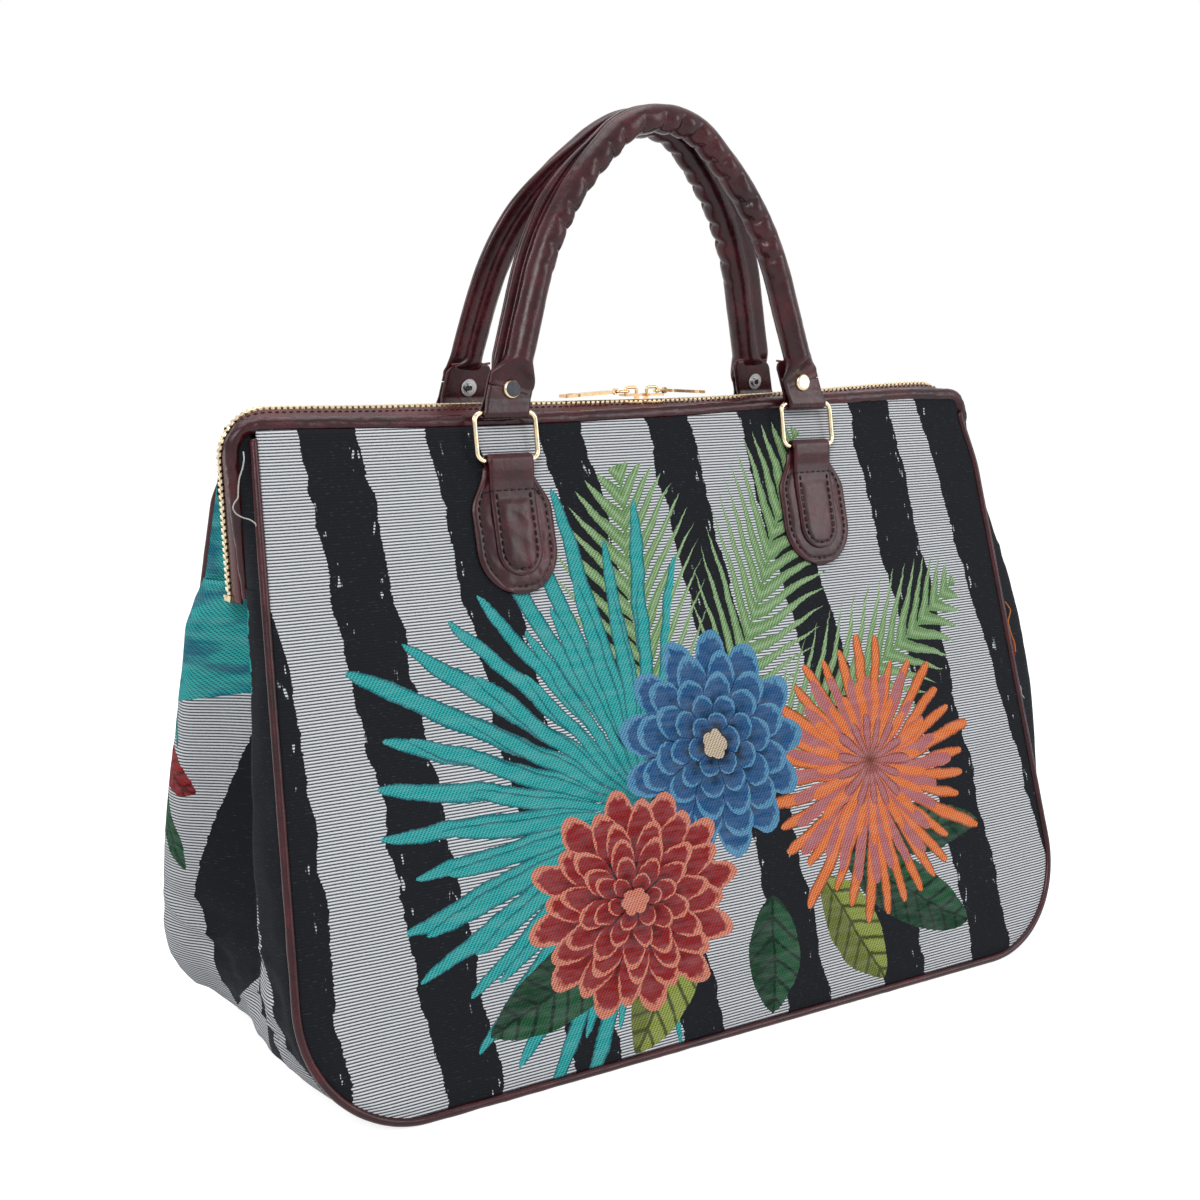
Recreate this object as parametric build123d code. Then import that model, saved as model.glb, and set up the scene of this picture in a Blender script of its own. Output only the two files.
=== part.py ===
from build123d import *
from math import atan2, cos, degrees, hypot, pi, radians, sin, sqrt, tan
import os

# A carpet bag: a soft weekender with two tapestry panels, a pleated gusset, a zipped frame mouth and two handles.
# Millimetres, +Z up, +X along the width, front towards -Y, origin on the floor under the middle of the base.

# Body
bottom_width = 500.0  # across the piping at the bottom
top_width = 463.0  # across the piping at the mouth
panel_rise = 313.0  # height of a panel's upper edge above the piping at its foot
bottom_depth = 189.0  # between the front and back piping at the bottom
top_depth = 33.0  # between the two panels at the mouth
corner_radius = 59.0  # of the bottom corners
panel_thickness = 3.0
piping_diameter = 4.0
seam_gap = 0.2  # between two sewn pieces

# Gusset, one strip down one side, under the base and up the other side
gusset_thickness = 2.0
pleat_depth = 30.0  # how far the folded side dips inwards
pleat_strip_top = 12.0  # from the piping to the fold's edge, under the zip's end
pleat_strip_foot = 26.0  # the same, near the bottom corner
pleat_bulge = 2.5  # how far the fold's edge stands out
pleat_foot = 24.0  # height at which the pleat has died out
pleat_close = 13.0  # height above the slit for the mouth at which its sides would meet
ear_reach = 0.9  # how far up the mouth's legs the strips beside them run

# Lining and base board
lining_thickness = 0.8
lining_side_gap = 6.0
lining_drop = 5.0  # from the mouth's tubes to the lining's upper edge
board_thickness = 2.0
board_side_gap = 3.0
layer_gap = 0.15

# Mouth: a tube with a wire in it along each side of the zip, over the top and down both sides
mouth_depth = 26.0  # between the two tubes
rim_height = 320.2
rim_corner_x = 243.0
rim_leg_x = 237.0
rim_leg_foot = 242.0
rim_corner_radius = 24.0
rim_diameter = 9.0
rim_wall = 2.2
wire_diameter = 4.0
wire_setback = 3.0

# Zip
zip_height = 326.9
zip_corner_x = 242.4
zip_leg_x = 238.6
zip_leg_foot = 243.0
zip_corner_radius = 28.0
tape_thickness = 1.0
tape_tail = 6.0  # how far the tapes run on below the teeth
tooth_pitch = 3.1
tooth_reach = 0.6  # past the middle of the zip
tooth_root = 3.2  # from the middle of the zip to the tape
tooth_height = 2.4
tooth_root_width = 1.4
tooth_tip_width = 1.2
stop_length = 3.0

# Sliders, links and pulls; the two sliders meet nose to nose
slider_meeting_x = 1.6
slider_length = 12.0
slider_width = 8.4
slider_tail_width = 7.4
slider_plate = 1.2
slider_gap = 2.8  # between the two plates
nose_gap = 1.0  # from each nose to the meeting point
post_length = 3.0
post_width = 0.5
post_setback = 0.6  # from the nose to the post
zip_spread = 1.1  # how far the teeth stand apart between the two posts
spread_reach = 9.0
bridge_span = 8.8
bridge_rise = 4.2
bridge_wire = 1.6
link_wire = 1.3
link_length = 9.4
link_width = 4.6
link_corner = 1.6
link_clearance = 0.2
link_lift = 0.5  # how far the link hangs above the slider
pull_length = 34.0
pull_width = 6.4
pull_end_width = 8.4
pull_end_length = 9.0
pull_thickness = 1.6
pull_neck_width = 1.6
pull_neck_length = 2.0
pull_shoulder = 2.0  # length over which the blade widens to its end
pull_rounding = 1.2
pull_window_share = 0.5  # of the end's length and width
pull_window_rounding = 0.8
pull_eye_wall = 0.8
pull_clearance = 0.25
pull_droop = 3.0
right_pull_swing = 17.0  # the right pull lies turned towards the back, clear of the handle

# Tabs, one folded strap of leatherette each, sewn to the panels
tab_spacing = 198.0
strap_width = 26.0
leather_thickness = 1.8
tab_width = 46.5
tab_foot = 238.0  # measured up the panel
tab_belly = 262.0
tab_shoulder = 283.0
tab_neck = 302.0
tongue_foot = 247.0
tongue_top = 290.0
ring_seat = 305.2  # the ring's lower bar, measured up the panel

# Rings
ring_wire = 2.6
ring_inner_width = 33.0
ring_height = 23.5  # between the middles of the two bars
ring_corner_radius = 4.3
ring_clearance = 0.35
ring_stand = 7.2  # from the panel to the upper bar

# Handles
arch_height = 149.5
arch_shoulder_x = 69.0
arch_shoulder_height = 101.0
arch_crown_x = 19.5
arch_shoulder_radius = 150.0
arch_crown_share = 0.9  # of the flat top that the crown's rounding takes
roll_diameter = 15.0
roll_wall = 2.3
core_clearance = 0.15
seam_height = 4.5  # of the sewn fin along the outside of the arch
seam_thickness = 3.0
ply_thickness = 2.2
roll_offset = 3.0  # how far the roll stands in front of its rings
tongue_length = 22.0
end_rounding = 5.0
roll_start = 17.0
roll_full = 42.0
gather_pitch = 9.0
gather_depth = 1.2
gather_radius = 2.4
handle_lean_front = 4.6
handle_lean_back = 7.6

# Rivets
rivet_height = 11.5
rivet_shank = 3.8
rivet_cap = 9.8
rivet_cap_height = 1.8
rivet_dome = 0.9  # share of the cap's height that is rounded
rivet_flange = 9.0
rivet_flange_height = 0.7
rivet_tube = 4.6
rivet_tube_height = 1.3
rivet_bore = 2.4
rivet_bite = 0.1  # of the shank into its cap and flange
rivet_clearance = 0.05
ply_meeting = rivet_height - rivet_cap / 2 - rivet_clearance  # height at which the end's plies meet

os.makedirs("parts", exist_ok=True)

piping_radius = piping_diameter / 2
rim_radius = rim_diameter / 2
base_z = piping_radius + seam_gap  # height of the piping line at the foot of a panel
lean = atan2((bottom_depth - top_depth) / 2, panel_rise)
slant = hypot(panel_rise, (bottom_depth - top_depth) / 2)
side_slope = (bottom_width - top_width) / 2 / slant
side_tilt = atan2(side_slope, 1)
seam_inset = piping_radius + seam_gap
corner_x = bottom_width / 2 - corner_radius * (1 + sin(side_tilt)) / cos(side_tilt)
rim_up = (bottom_depth - mouth_depth) / 2 * sin(lean) + (rim_height - base_z) * cos(lean)
panel_top = rim_up - rim_radius - seam_gap
mouth_corner = rim_corner_radius / 2  # rounding of a panel's upper corners
piping_top = panel_top - rim_corner_radius * 0.3
slit_foot = min(zip_leg_foot - tape_tail, rim_leg_foot) - tape_thickness  # of the gusset's slit
foot_plane = Plane(origin=(0, 0, 0), x_dir=(1, 0, 0), z_dir=(0, -1, 0))
front_plane = Plane(
    origin=(0, -bottom_depth / 2, base_z),
    x_dir=(1, 0, 0),
    z_dir=(0, -cos(lean), sin(lean)),
)
turn_back = Rot(0, 0, 180)


def save(piece, name):
    export_step(piece, f"parts/{name}.step")


def save_both(piece, name):
    """A piece of the front side and its twin on the back."""
    save(piece, f"front_{name}")
    save(turn_back * piece, f"back_{name}")


def solid_group(pieces):
    return Compound([solid for piece in pieces for solid in piece.solids()])


def mirrored(points):
    """Points of a left half followed by those of the right half."""
    return list(points) + [(-x, *rest) for x, *rest in reversed(points)]


def tube(line, radius):
    """Round bar along a line."""
    return sweep(Plane(origin=line @ 0, z_dir=line % 0) * Circle(radius), path=line)


def half_depth(z):
    return bottom_depth / 2 - (z - base_z) * (bottom_depth - top_depth) / 2 / panel_rise


def half_width(z):
    return bottom_width / 2 - (z - base_z) * (bottom_width - top_width) / 2 / panel_rise


# Panels and piping


def panel_corners(inset, top):
    """Left half of a panel's outline, its sides and foot moved in by the inset."""
    side = inset * hypot(1, side_slope)
    upper = (side_slope * top + side - bottom_width / 2, top)
    lower = (side_slope * inset + side - bottom_width / 2, inset)
    return [upper, lower]


def panel():
    outline = Polyline(*mirrored(panel_corners(seam_inset, panel_top)), close=True)
    face = make_face(outline)
    face = fillet(face.vertices().sort_by(Axis.Y)[:2], corner_radius - seam_inset)
    face = fillet(face.vertices().sort_by(Axis.Y)[-2:], mouth_corner)
    return front_plane * extrude(face, panel_thickness / 2, both=True)


def piping():
    corners = mirrored(panel_corners(0, piping_top))
    return tube(front_plane * FilletPolyline(*corners, radius=corner_radius), piping_radius)


# Gusset


def pleat_at(z):
    """Depth of the fold, place of its edge from the middle and its bulge at a height."""
    share = 0.0
    rise = (z - pleat_foot) / (slit_foot + pleat_close - pleat_foot)
    if 0 < rise < 1:
        share = sin(pi * rise) ** 0.6
    fall = min(1.0, max(0.0, (slit_foot - z) / (slit_foot - bottom_depth / 2)))
    strip = pleat_strip_top + (pleat_strip_foot - pleat_strip_top) * fall
    edge = half_depth(z) - seam_inset - strip
    return pleat_depth * share, edge, pleat_bulge * share


def band(points, thickness):
    """The two edges of a thin band along a line of points, with mitred turns."""
    left, right = [], []
    for i, (px, py) in enumerate(points):
        normals = []
        for a, b in [(i - 1, i), (i, i + 1)]:
            if 0 <= a and b < len(points):
                run_x = points[b][0] - points[a][0]
                run_y = points[b][1] - points[a][1]
                run = hypot(run_x, run_y)
                normals.append((-run_y / run, run_x / run))
        nx = sum(n[0] for n in normals) / len(normals)
        ny = sum(n[1] for n in normals) / len(normals)
        reach = thickness / 2 / (nx**2 + ny**2)
        left.append((px + nx * reach, py + ny * reach))
        right.append((px - nx * reach, py - ny * reach))
    return left, right


def side_stations(heights):
    """Points of the piping line up the left side, each with its outward direction."""
    return [(-half_width(z), z, -cos(side_tilt), sin(side_tilt)) for z in heights]


def corner_stations(count):
    """The same round the left bottom corner, from its lower end up."""
    stations = []
    for i in range(count + 1):
        turn = pi / 2 + (pi / 2 + side_tilt) * i / count
        out_x, out_z = cos(turn), -sin(turn)
        z = base_z + corner_radius * (1 + out_z) * cos(lean)
        stations.append((-corner_x + corner_radius * out_x, z, out_x, out_z))
    return stations


def strip_face(station, line):
    """Cross-section of a strip at a station, from a line of (outwards, y) points."""
    x, z, out_x, out_z = station
    left, right = band(line, gusset_thickness)
    outline = [(x + out_x * s, y, z + out_z * s) for s, y in left + right[::-1]]
    return make_face(Polyline(*outline, close=True))


def gusset_line(z):
    """The folded strip's line at a height, from the front piping to the back piping."""
    depth, edge, bulge = pleat_at(z)
    end = half_depth(z) - seam_inset
    mid = base_z - gusset_thickness / 2
    return [(mid, -end), (mid + bulge, -edge), (mid - depth, 0), (mid + bulge, edge), (mid, end)]


def ear_end(z):
    """Where the strip in front of the zip meets the tube's left leg, as outwards and y."""
    rise = (z - rim_leg_foot) / (rim_height - rim_leg_foot)
    leg = rim_leg_x + (rim_corner_x - rim_leg_x) * rise - half_width(z)
    mid = base_z - gusset_thickness / 2
    front = half_depth(z) - seam_inset
    away = hypot(leg - mid, front - mouth_depth / 2)
    reach = (rim_radius + seam_gap + gusset_thickness / 2) / away
    return leg + (mid - leg) * reach, -mouth_depth / 2 - (front - mouth_depth / 2) * reach


def ear(station):
    """Strip between the piping and the mouth's front left leg, from the gusset's top up."""
    high = slit_foot + (rim_height - rim_corner_radius - slit_foot) * ear_reach
    left, right = band(gusset_line(station[1]), gusset_thickness)
    corners = left[:2] + right[1::-1]
    x, z, out_x, out_z = station
    foot = [(x + out_x * s, y, z + out_z * s) for s, y in corners]
    faces = [make_face(Polyline(*foot, close=True))]
    for share in (0.2, 0.6, 1.0):
        level = slit_foot + (high - slit_foot) * share
        mid = base_z - gusset_thickness / 2
        line = [(mid, seam_inset - half_depth(level)), ear_end(level)]
        faces.append(strip_face(side_stations([level])[0], line))
    return loft(faces, ruled=True)


def gusset():
    rows = [slit_foot * share for share in (0.38, 0.52, 0.66, 0.8, 0.9, 1.0)]
    stations = corner_stations(6) + side_stations(rows)
    faces = [strip_face(station, gusset_line(station[1])) for station in stations]
    front_ear = ear(stations[-1])
    side = loft(faces, ruled=True) + front_ear + mirror(front_ear, about=Plane.XZ)
    floor = loft([faces[0], mirror(faces[0], about=Plane.YZ)], ruled=True)
    return side + floor + mirror(side, about=Plane.YZ)


# Lining and base board


def side_x(z):
    """The piping line's distance from the middle at a height, round the corner too."""
    drop = corner_radius * (1 + sin(side_tilt)) - (z - base_z) / cos(lean)
    if drop <= corner_radius * sin(side_tilt):
        return half_width(z)
    low = corner_radius - (z - base_z) / cos(lean)
    return corner_x + sqrt(corner_radius**2 - low**2)


def lining_body(inset, bottom, top):
    levels = [bottom + (slit_foot - bottom) * share for share in (0, 0.12, 0.25, 0.42, 0.6, 0.85, 1)]
    levels.append(top)
    faces = []
    for z in levels:
        x = side_x(z) - pleat_at(z)[0] - gusset_thickness - lining_side_gap - inset
        y = half_depth(z) - panel_thickness / 2 / cos(lean) - 2 * layer_gap - inset
        faces.append(Pos(0, 0, z) * Rectangle(2 * x, 2 * y))
    return loft(faces, ruled=True)


def lining():
    bottom = gusset_thickness + layer_gap + board_thickness + layer_gap
    top = rim_height - rim_radius - lining_drop
    outer = lining_body(0, bottom, top)
    inner = lining_body(lining_thickness, bottom + lining_thickness, top)
    lid = Pos(0, 0, top) * Box(bottom_width, bottom_depth, lining_thickness)
    return outer - inner - lid


def base_board():
    length = bottom_width - 2 * (corner_radius + board_side_gap)
    width = 2 * (half_depth(board_thickness) - panel_thickness - board_side_gap)
    z = gusset_thickness + layer_gap + board_thickness / 2
    return Pos(0, 0, z) * extrude(
        RectangleRounded(length, width, 4 * board_side_gap), board_thickness / 2, both=True
    )


# Mouth


def rim_line(foot):
    """Middle of the front tube, its legs ending at a height."""
    drop = (rim_height - foot) / (rim_height - rim_leg_foot)
    leg_x = rim_corner_x - (rim_corner_x - rim_leg_x) * drop
    corners = mirrored([(-leg_x, foot), (-rim_corner_x, rim_height)])
    plane = Plane(origin=(0, -mouth_depth / 2, 0), x_dir=(1, 0, 0), z_dir=(0, -1, 0))
    return plane * FilletPolyline(*corners, radius=rim_corner_radius)


def rim_cover():
    outer = tube(rim_line(rim_leg_foot), rim_radius)
    return outer - tube(rim_line(rim_leg_foot - 1), rim_radius - rim_wall)


def frame_wire():
    return tube(rim_line(rim_leg_foot + wire_setback), wire_diameter / 2)


# Zip


def zip_line(foot):
    drop = (zip_height - foot) / (zip_height - zip_leg_foot)
    leg_x = zip_corner_x - (zip_corner_x - zip_leg_x) * drop
    corners = mirrored([(-leg_x, foot), (-zip_corner_x, zip_height)])
    return foot_plane * FilletPolyline(*corners, radius=zip_corner_radius)


def tape():
    """Front tape, from the teeth to the tube, parted a little round the sliders' posts."""
    line = zip_line(zip_leg_foot - tape_tail)
    edge = tooth_root + seam_gap
    fall = zip_height - rim_height
    run = mouth_depth / 2 - edge
    half = tape_thickness / 2
    reach = 1 - (rim_radius + seam_gap) / run
    profile = [
        (edge, half),
        (edge, -half),
        (edge + run * reach, -fall * reach - half),
        (edge + run * reach, -fall * reach + half),
    ]
    start = line @ 0
    inward = Vector(0, 1, 0).cross(line % 0)
    points = [start + Vector(0, -1, 0) * y - inward * n for y, n in profile]
    band_face = make_face(Polyline(*points, close=True))
    slit = [
        (slider_meeting_x - post_line - spread_reach, -edge),
        (slider_meeting_x - post_line, -edge - zip_spread),
        (slider_meeting_x + post_line, -edge - zip_spread),
        (slider_meeting_x + post_line + spread_reach, -edge),
        (slider_meeting_x, 0),
    ]
    cut = Pos(0, 0, zip_height) * extrude(make_face(Polyline(*slit, close=True)), fall, both=True)
    return sweep(band_face, path=line) - cut


def spread_at(x):
    """How far a row of teeth stands off the middle at a place along the zip."""
    past = abs(x - slider_meeting_x) - post_line
    return zip_spread * min(1.0, max(0.0, 1 - past / spread_reach))


def tooth():
    corners = [
        (-tooth_root_width / 2, -tooth_root),
        (tooth_root_width / 2, -tooth_root),
        (tooth_tip_width / 2, tooth_reach),
        (-tooth_tip_width / 2, tooth_reach),
    ]
    return extrude(make_face(Polyline(*corners, close=True)), tooth_height / 2, both=True)


def teeth(shift):
    """The front row of teeth, shifted along the zip by a share of the pitch."""
    line = zip_line(zip_leg_foot)
    count = int(line.length / tooth_pitch - 0.5)
    one = tooth()
    row = []
    for i in range(count):
        place = (i + 0.25 + shift) * tooth_pitch / line.length
        point, along = line @ place, line % place
        aside = spread_at(point.X) if point.Z > rim_height else 0
        where = Plane(
            origin=point - Vector(0, aside, 0),
            x_dir=along,
            z_dir=along.cross(Vector(0, 1, 0)),
        )
        row.append(where * one)
    return solid_group(row)


def end_stops():
    width = 2 * tooth_root
    pieces = []
    for side in (-1, 1):
        z = zip_leg_foot - stop_length
        block = Pos(side * zip_leg_x, 0, z) * Box(tooth_height, width, stop_length)
        pieces.append(block)
    return solid_group(pieces)


# Sliders, links and pulls: each is drawn on the right, outwards along +X from its slider's middle
post_line = nose_gap + post_setback + post_length
slider_centre = nose_gap + slider_length / 2
plate_top = slider_gap / 2 + slider_plate
bridge_x = bridge_span / 2 - bridge_wire / 2
link_z = plate_top + link_clearance + link_wire / 2 + link_lift
link_near = bridge_x - bridge_wire / 2 - link_wire / 2 - link_clearance
link_far = link_near + link_length - link_wire
eye_radius = link_wire / 2 + pull_clearance + pull_eye_wall


def slider():
    half = slider_length / 2
    corners = [
        (-half, -slider_width / 2),
        (half, -slider_tail_width / 2),
        (half, slider_tail_width / 2),
        (-half, slider_width / 2),
    ]
    face = make_face(Polyline(*corners, close=True))
    face = fillet(face.vertices(), slider_width / 5)
    plate = extrude(face, slider_plate)
    post_x = post_setback + post_length / 2 - half
    post = Pos(post_x, 0, 0) * Box(post_length, post_width, slider_gap + slider_plate)
    foot, top = plate_top - slider_plate / 2, plate_top + bridge_rise - bridge_wire / 2
    corners = mirrored([(-bridge_x, foot), (-bridge_x, top)])
    bow = tube(foot_plane * FilletPolyline(*corners, radius=bridge_wire), bridge_wire / 2)
    upper = Pos(0, 0, slider_gap / 2) * plate
    lower = Pos(0, 0, -slider_gap / 2 - slider_plate) * plate
    return upper + lower + post + bow


def link():
    middle = (link_near + link_far) / 2
    frame = RectangleRounded(link_length - link_wire, link_width - link_wire, link_corner)
    line = Pos(middle, 0, link_z) * frame.wire()
    return tube(line, link_wire / 2)


def pull():
    """Lies outwards from the link's far bar, on which its eye turns."""
    neck = eye_radius + pull_neck_length
    end = pull_length - pull_end_length
    full = end + pull_shoulder
    half, wide = pull_width / 2, pull_end_width / 2
    outline = [
        (neck, -half), (end, -half), (full, -wide), (pull_length, -wide),
        (pull_length, wide), (full, wide), (end, half), (neck, half),
    ]
    face = make_face(Polyline(*outline, close=True))
    face = fillet(face.vertices(), pull_rounding)
    window = Pos(pull_length - pull_end_length / 2, 0) * RectangleRounded(
        pull_end_length * pull_window_share,
        pull_end_width * pull_window_share,
        pull_window_rounding,
    )
    blade = extrude(face - window, pull_thickness / 2, both=True)
    stem = Pos(neck / 2 + pull_thickness / 2, 0, 0) * Box(neck, pull_neck_width, pull_thickness)
    eye = Rot(90, 0, 0) * Cylinder(eye_radius, pull_neck_width)
    hole = Rot(90, 0, 0) * Cylinder(link_wire / 2 + pull_clearance, pull_width)
    return Pos(link_far, 0, link_z) * Rot(0, pull_droop, 0) * (blade + stem + eye - hole)


def swung(piece, angle):
    """Turned about the bridge's outer leg, as the link swivels."""
    return Pos(bridge_x, 0, 0) * Rot(0, 0, angle) * Pos(-bridge_x, 0, 0) * piece


def on_right(piece):
    return Pos(slider_meeting_x + slider_centre, 0, zip_height) * piece


def on_left(piece):
    return Pos(slider_meeting_x - slider_centre, 0, zip_height) * turn_back * piece


# Tabs and rings, drawn with X across, Y up the panel and Z out from its middle
patch_out = panel_thickness / 2 + seam_gap
ply_out = patch_out + leather_thickness
ring_hole = ring_wire / 2 + ring_clearance
ring_out = ply_out + ring_hole
ring_tilt = degrees(atan2(ring_stand - ring_out, ring_height))
tongue_out = ply_out + leather_thickness


def side_prism(points, width):
    """Prism across the strap from a side view given as (up, out) points."""
    return extrude(Plane.YZ * make_face(Polyline(*points, close=True)), width / 2, both=True)


def tab():
    neck = strap_width / 2 + leather_thickness
    half = tab_width / 2
    side = [(-neck, tab_neck), (-half, tab_shoulder), (-half, tab_belly)]
    belly = ThreePointArc((-half, tab_belly), (0, tab_foot), (half, tab_belly))
    shoulders = Polyline((half, tab_belly), *[(-x, y) for x, y in side[1::-1]], *side)
    patch = Pos(0, 0, patch_out) * extrude(make_face(belly + shoulders), leather_thickness)
    loop_radius = ring_hole + leather_thickness
    ring_axis = Pos(0, ring_seat, ring_out) * Rot(0, 90, 0)
    loop = ring_axis * Cylinder(loop_radius, strap_width)
    hole = ring_axis * Cylinder(ring_hole, 2 * strap_width)
    front = ring_out + loop_radius
    behind = side_prism(
        [(tab_belly, patch_out), (ring_seat, patch_out), (ring_seat, ply_out), (tab_belly, ply_out)],
        strap_width,
    )
    slope = side_prism(
        [
            (ring_seat, front), (ring_seat, front - leather_thickness),
            (tongue_top, ply_out), (tongue_foot, ply_out),
            (tongue_foot, tongue_out), (tongue_top, tongue_out),
        ],
        strap_width,
    )
    blank = Pos(0, (tongue_foot + ring_seat) / 2, 0) * RectangleRounded(
        strap_width, ring_seat - tongue_foot + strap_width, strap_width * 0.49
    )
    blank = Pos(0, strap_width / 2, 0) * blank
    slope = slope & extrude(blank, 2 * front)
    under = Pos(0, ring_seat - loop_radius, ring_out) * Box(
        2 * strap_width, 2 * loop_radius, 2 * ring_hole
    )
    return patch + behind + (loop - under) + slope - hole


def ring():
    frame = Pos(0, ring_height / 2, 0) * RectangleRounded(
        ring_inner_width + ring_wire, ring_height, ring_corner_radius
    )
    line = Pos(0, ring_seat, ring_out) * Rot(ring_tilt, 0, 0) * frame.wire()
    return tube(line, ring_wire / 2)


def at_tab(piece, side):
    return front_plane * Pos(side * tab_spacing / 2, 0, 0) * piece


# Handles, drawn with X across, Y up the arch and Z outwards, between the rings' upper bars
foot_x = tab_spacing / 2
foot_tilt = atan2(foot_x - arch_shoulder_x, arch_shoulder_height)
crown_turn = atan2(arch_height - arch_shoulder_height, arch_shoulder_x - arch_crown_x)
crown_radius = arch_crown_share * arch_crown_x / tan(crown_turn / 2)
end_half = ply_thickness + ring_hole
roll_radius = roll_diameter / 2
ring_top_up = ring_seat + ring_height * cos(radians(ring_tilt))
ring_top_out = ring_out + ring_height * sin(radians(ring_tilt))
ring_top = front_plane.from_local_coords(Vector(0, ring_top_up, ring_top_out))


def arch(first, offset):
    """The arch's middle line from a height on its left leg to the same on the right."""
    reach = first * tan(foot_tilt)
    corners = [
        (reach - foot_x, first),
        (-arch_shoulder_x, arch_shoulder_height),
        (-arch_crown_x, arch_height),
    ]
    points = [(x, y, offset) for x, y in mirrored(corners)]
    radii = [arch_shoulder_radius, crown_radius, crown_radius, arch_shoulder_radius]
    edges = []
    cursor = Vector(*points[0])
    for i, radius in enumerate(radii, 1):
        corner = Vector(*points[i])
        back = (Vector(*points[i - 1]) - corner).normalized()
        ahead = (Vector(*points[i + 1]) - corner).normalized()
        half = radians(back.get_angle(ahead)) / 2
        cut = radius / tan(half)
        bisector = (back + ahead).normalized()
        centre = corner + bisector * (radius / sin(half))
        enter, leave = corner + back * cut, corner + ahead * cut
        edges.append(Line(cursor, enter))
        edges.append(ThreePointArc(enter, centre - bisector * radius, leave))
        cursor = leave
    edges.append(Line(cursor, Vector(*points[-1])))
    return Wire([edge.edge() for edge in edges])


def square_to(line, place, shape):
    """A flat shape set square to the arch, its X towards the outside of the arch."""
    along = line % place
    outwards = Vector(0, 0, 1).cross(along)
    return Plane(origin=line @ place, x_dir=outwards, z_dir=along) * shape


def left_end():
    """The riveted strap round the ring, from the ring's bar up to the roll."""
    slope = tan(foot_tilt)
    half = strap_width / 2
    top = tongue_length
    outer = side_prism(
        [
            (0, end_half), (ply_meeting, ply_thickness), (top, ply_thickness),
            (top, -ply_thickness), (ply_meeting, -ply_thickness), (0, -end_half),
        ],
        3 * strap_width,
    )
    round_end = Rot(0, 90, 0) * Cylinder(end_half, 3 * strap_width)
    meeting = ply_meeting - ply_thickness
    hollow = side_prism([(0, ring_hole), (meeting, 0), (0, -ring_hole)], 3 * strap_width)
    bore = Rot(0, 90, 0) * Cylinder(ring_hole, 3 * strap_width)
    outline = [
        (-half, -end_half), (half, -end_half), (half, 0),
        (half + top * slope, top), (top * slope - half, top), (-half, 0),
    ]
    face = fillet(make_face(Polyline(*outline, close=True)).vertices().sort_by(Axis.Y)[-2:], end_rounding)
    strap = (outer + round_end - hollow - bore) & extrude(face, 2 * end_half, both=True)
    eye = Pos(rivet_height * slope, rivet_height, 0) * Cylinder(
        rivet_shank / 2 + rivet_clearance, 4 * end_half
    )
    return Pos(-foot_x, 0, 0) * (strap - eye)


def left_transition():
    """Swells from the flat strap to the round roll."""
    faces = []
    for step in range(5):
        share = step / 4
        ease = share * share * (3 - 2 * share)
        height = roll_start + (roll_full - roll_start) * share
        wide = strap_width / 2 - 1 + (roll_radius - strap_width / 2 + 1) * ease
        thick = ply_thickness + (roll_radius - ply_thickness) * share
        where = Plane(
            origin=(height * tan(foot_tilt) - foot_x, height, roll_offset * ease),
            x_dir=(cos(foot_tilt), -sin(foot_tilt), 0),
            z_dir=(sin(foot_tilt), cos(foot_tilt), 0),
        )
        faces.append(where * Ellipse(wide, thick))
    return loft(faces, ruled=True)


def left_fin():
    """The sewn fin beside the swell, down to the strap."""
    line = arch(tongue_length, roll_offset)
    inside = roll_radius - roll_wall
    outside = roll_radius + seam_height
    shape = Pos((inside + outside) / 2, 0) * Rectangle(outside - inside, seam_thickness)
    rise = (roll_full - tongue_length) / cos(foot_tilt)
    return extrude(square_to(line, 0, shape), amount=rise, dir=line % 0)


def handle_cover():
    """A hollow roll with its sewn fin, gathered on the inside of the arch, between two ends."""
    line = arch(roll_full, roll_offset)
    fin_top = roll_radius + seam_height
    section = Circle(roll_radius) + Pos(fin_top / 2, 0) * Rectangle(fin_top, seam_thickness)
    section -= Circle(roll_radius - roll_wall)
    roll = sweep(square_to(line, 0, section.face()), path=line)
    count = int(line.length / gather_pitch)
    depth = roll_radius + gather_radius - gather_depth
    gathers = []
    for i in range(count):
        place = (i + 0.5) / count
        middle = line @ place - Vector(0, 0, 1).cross(line % place) * depth
        gathers.append(Pos(*middle) * Cylinder(gather_radius, roll_diameter))
    end = left_transition() + left_fin() + left_end()
    return (roll - gathers) + end + mirror(end, about=Plane.YZ)


def handle_core():
    setback = core_clearance
    line = arch(roll_full + setback, roll_offset)
    radius = roll_radius - roll_wall - core_clearance
    return sweep(square_to(line, 0, Circle(radius)), path=line)


def rivets():
    """Two rivets: a domed cap in front, a flange and a tube with a bore behind."""
    face = ply_thickness + rivet_clearance
    cap = Pos(0, 0, face) * extrude(Circle(rivet_cap / 2), rivet_cap_height)
    cap = fillet(cap.edges().sort_by(Axis.Z)[-1], rivet_cap_height * rivet_dome)
    shank = Cylinder(rivet_shank / 2, 2 * face + 2 * rivet_bite)
    flange = Pos(0, 0, -face - rivet_flange_height) * extrude(
        Circle(rivet_flange / 2), rivet_flange_height
    )
    tail = Pos(0, 0, -face - rivet_flange_height - rivet_tube_height) * extrude(
        Circle(rivet_tube / 2) - Circle(rivet_bore / 2), rivet_tube_height
    )
    one = cap + shank + flange + tail
    x = foot_x - rivet_height * tan(foot_tilt)
    return solid_group([Pos(-x, rivet_height, 0) * one, Pos(x, rivet_height, 0) * one])


def handle_plane(angle):
    tilt = radians(angle)
    return Plane(origin=ring_top, x_dir=(1, 0, 0), z_dir=(0, -cos(tilt), sin(tilt)))


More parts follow.
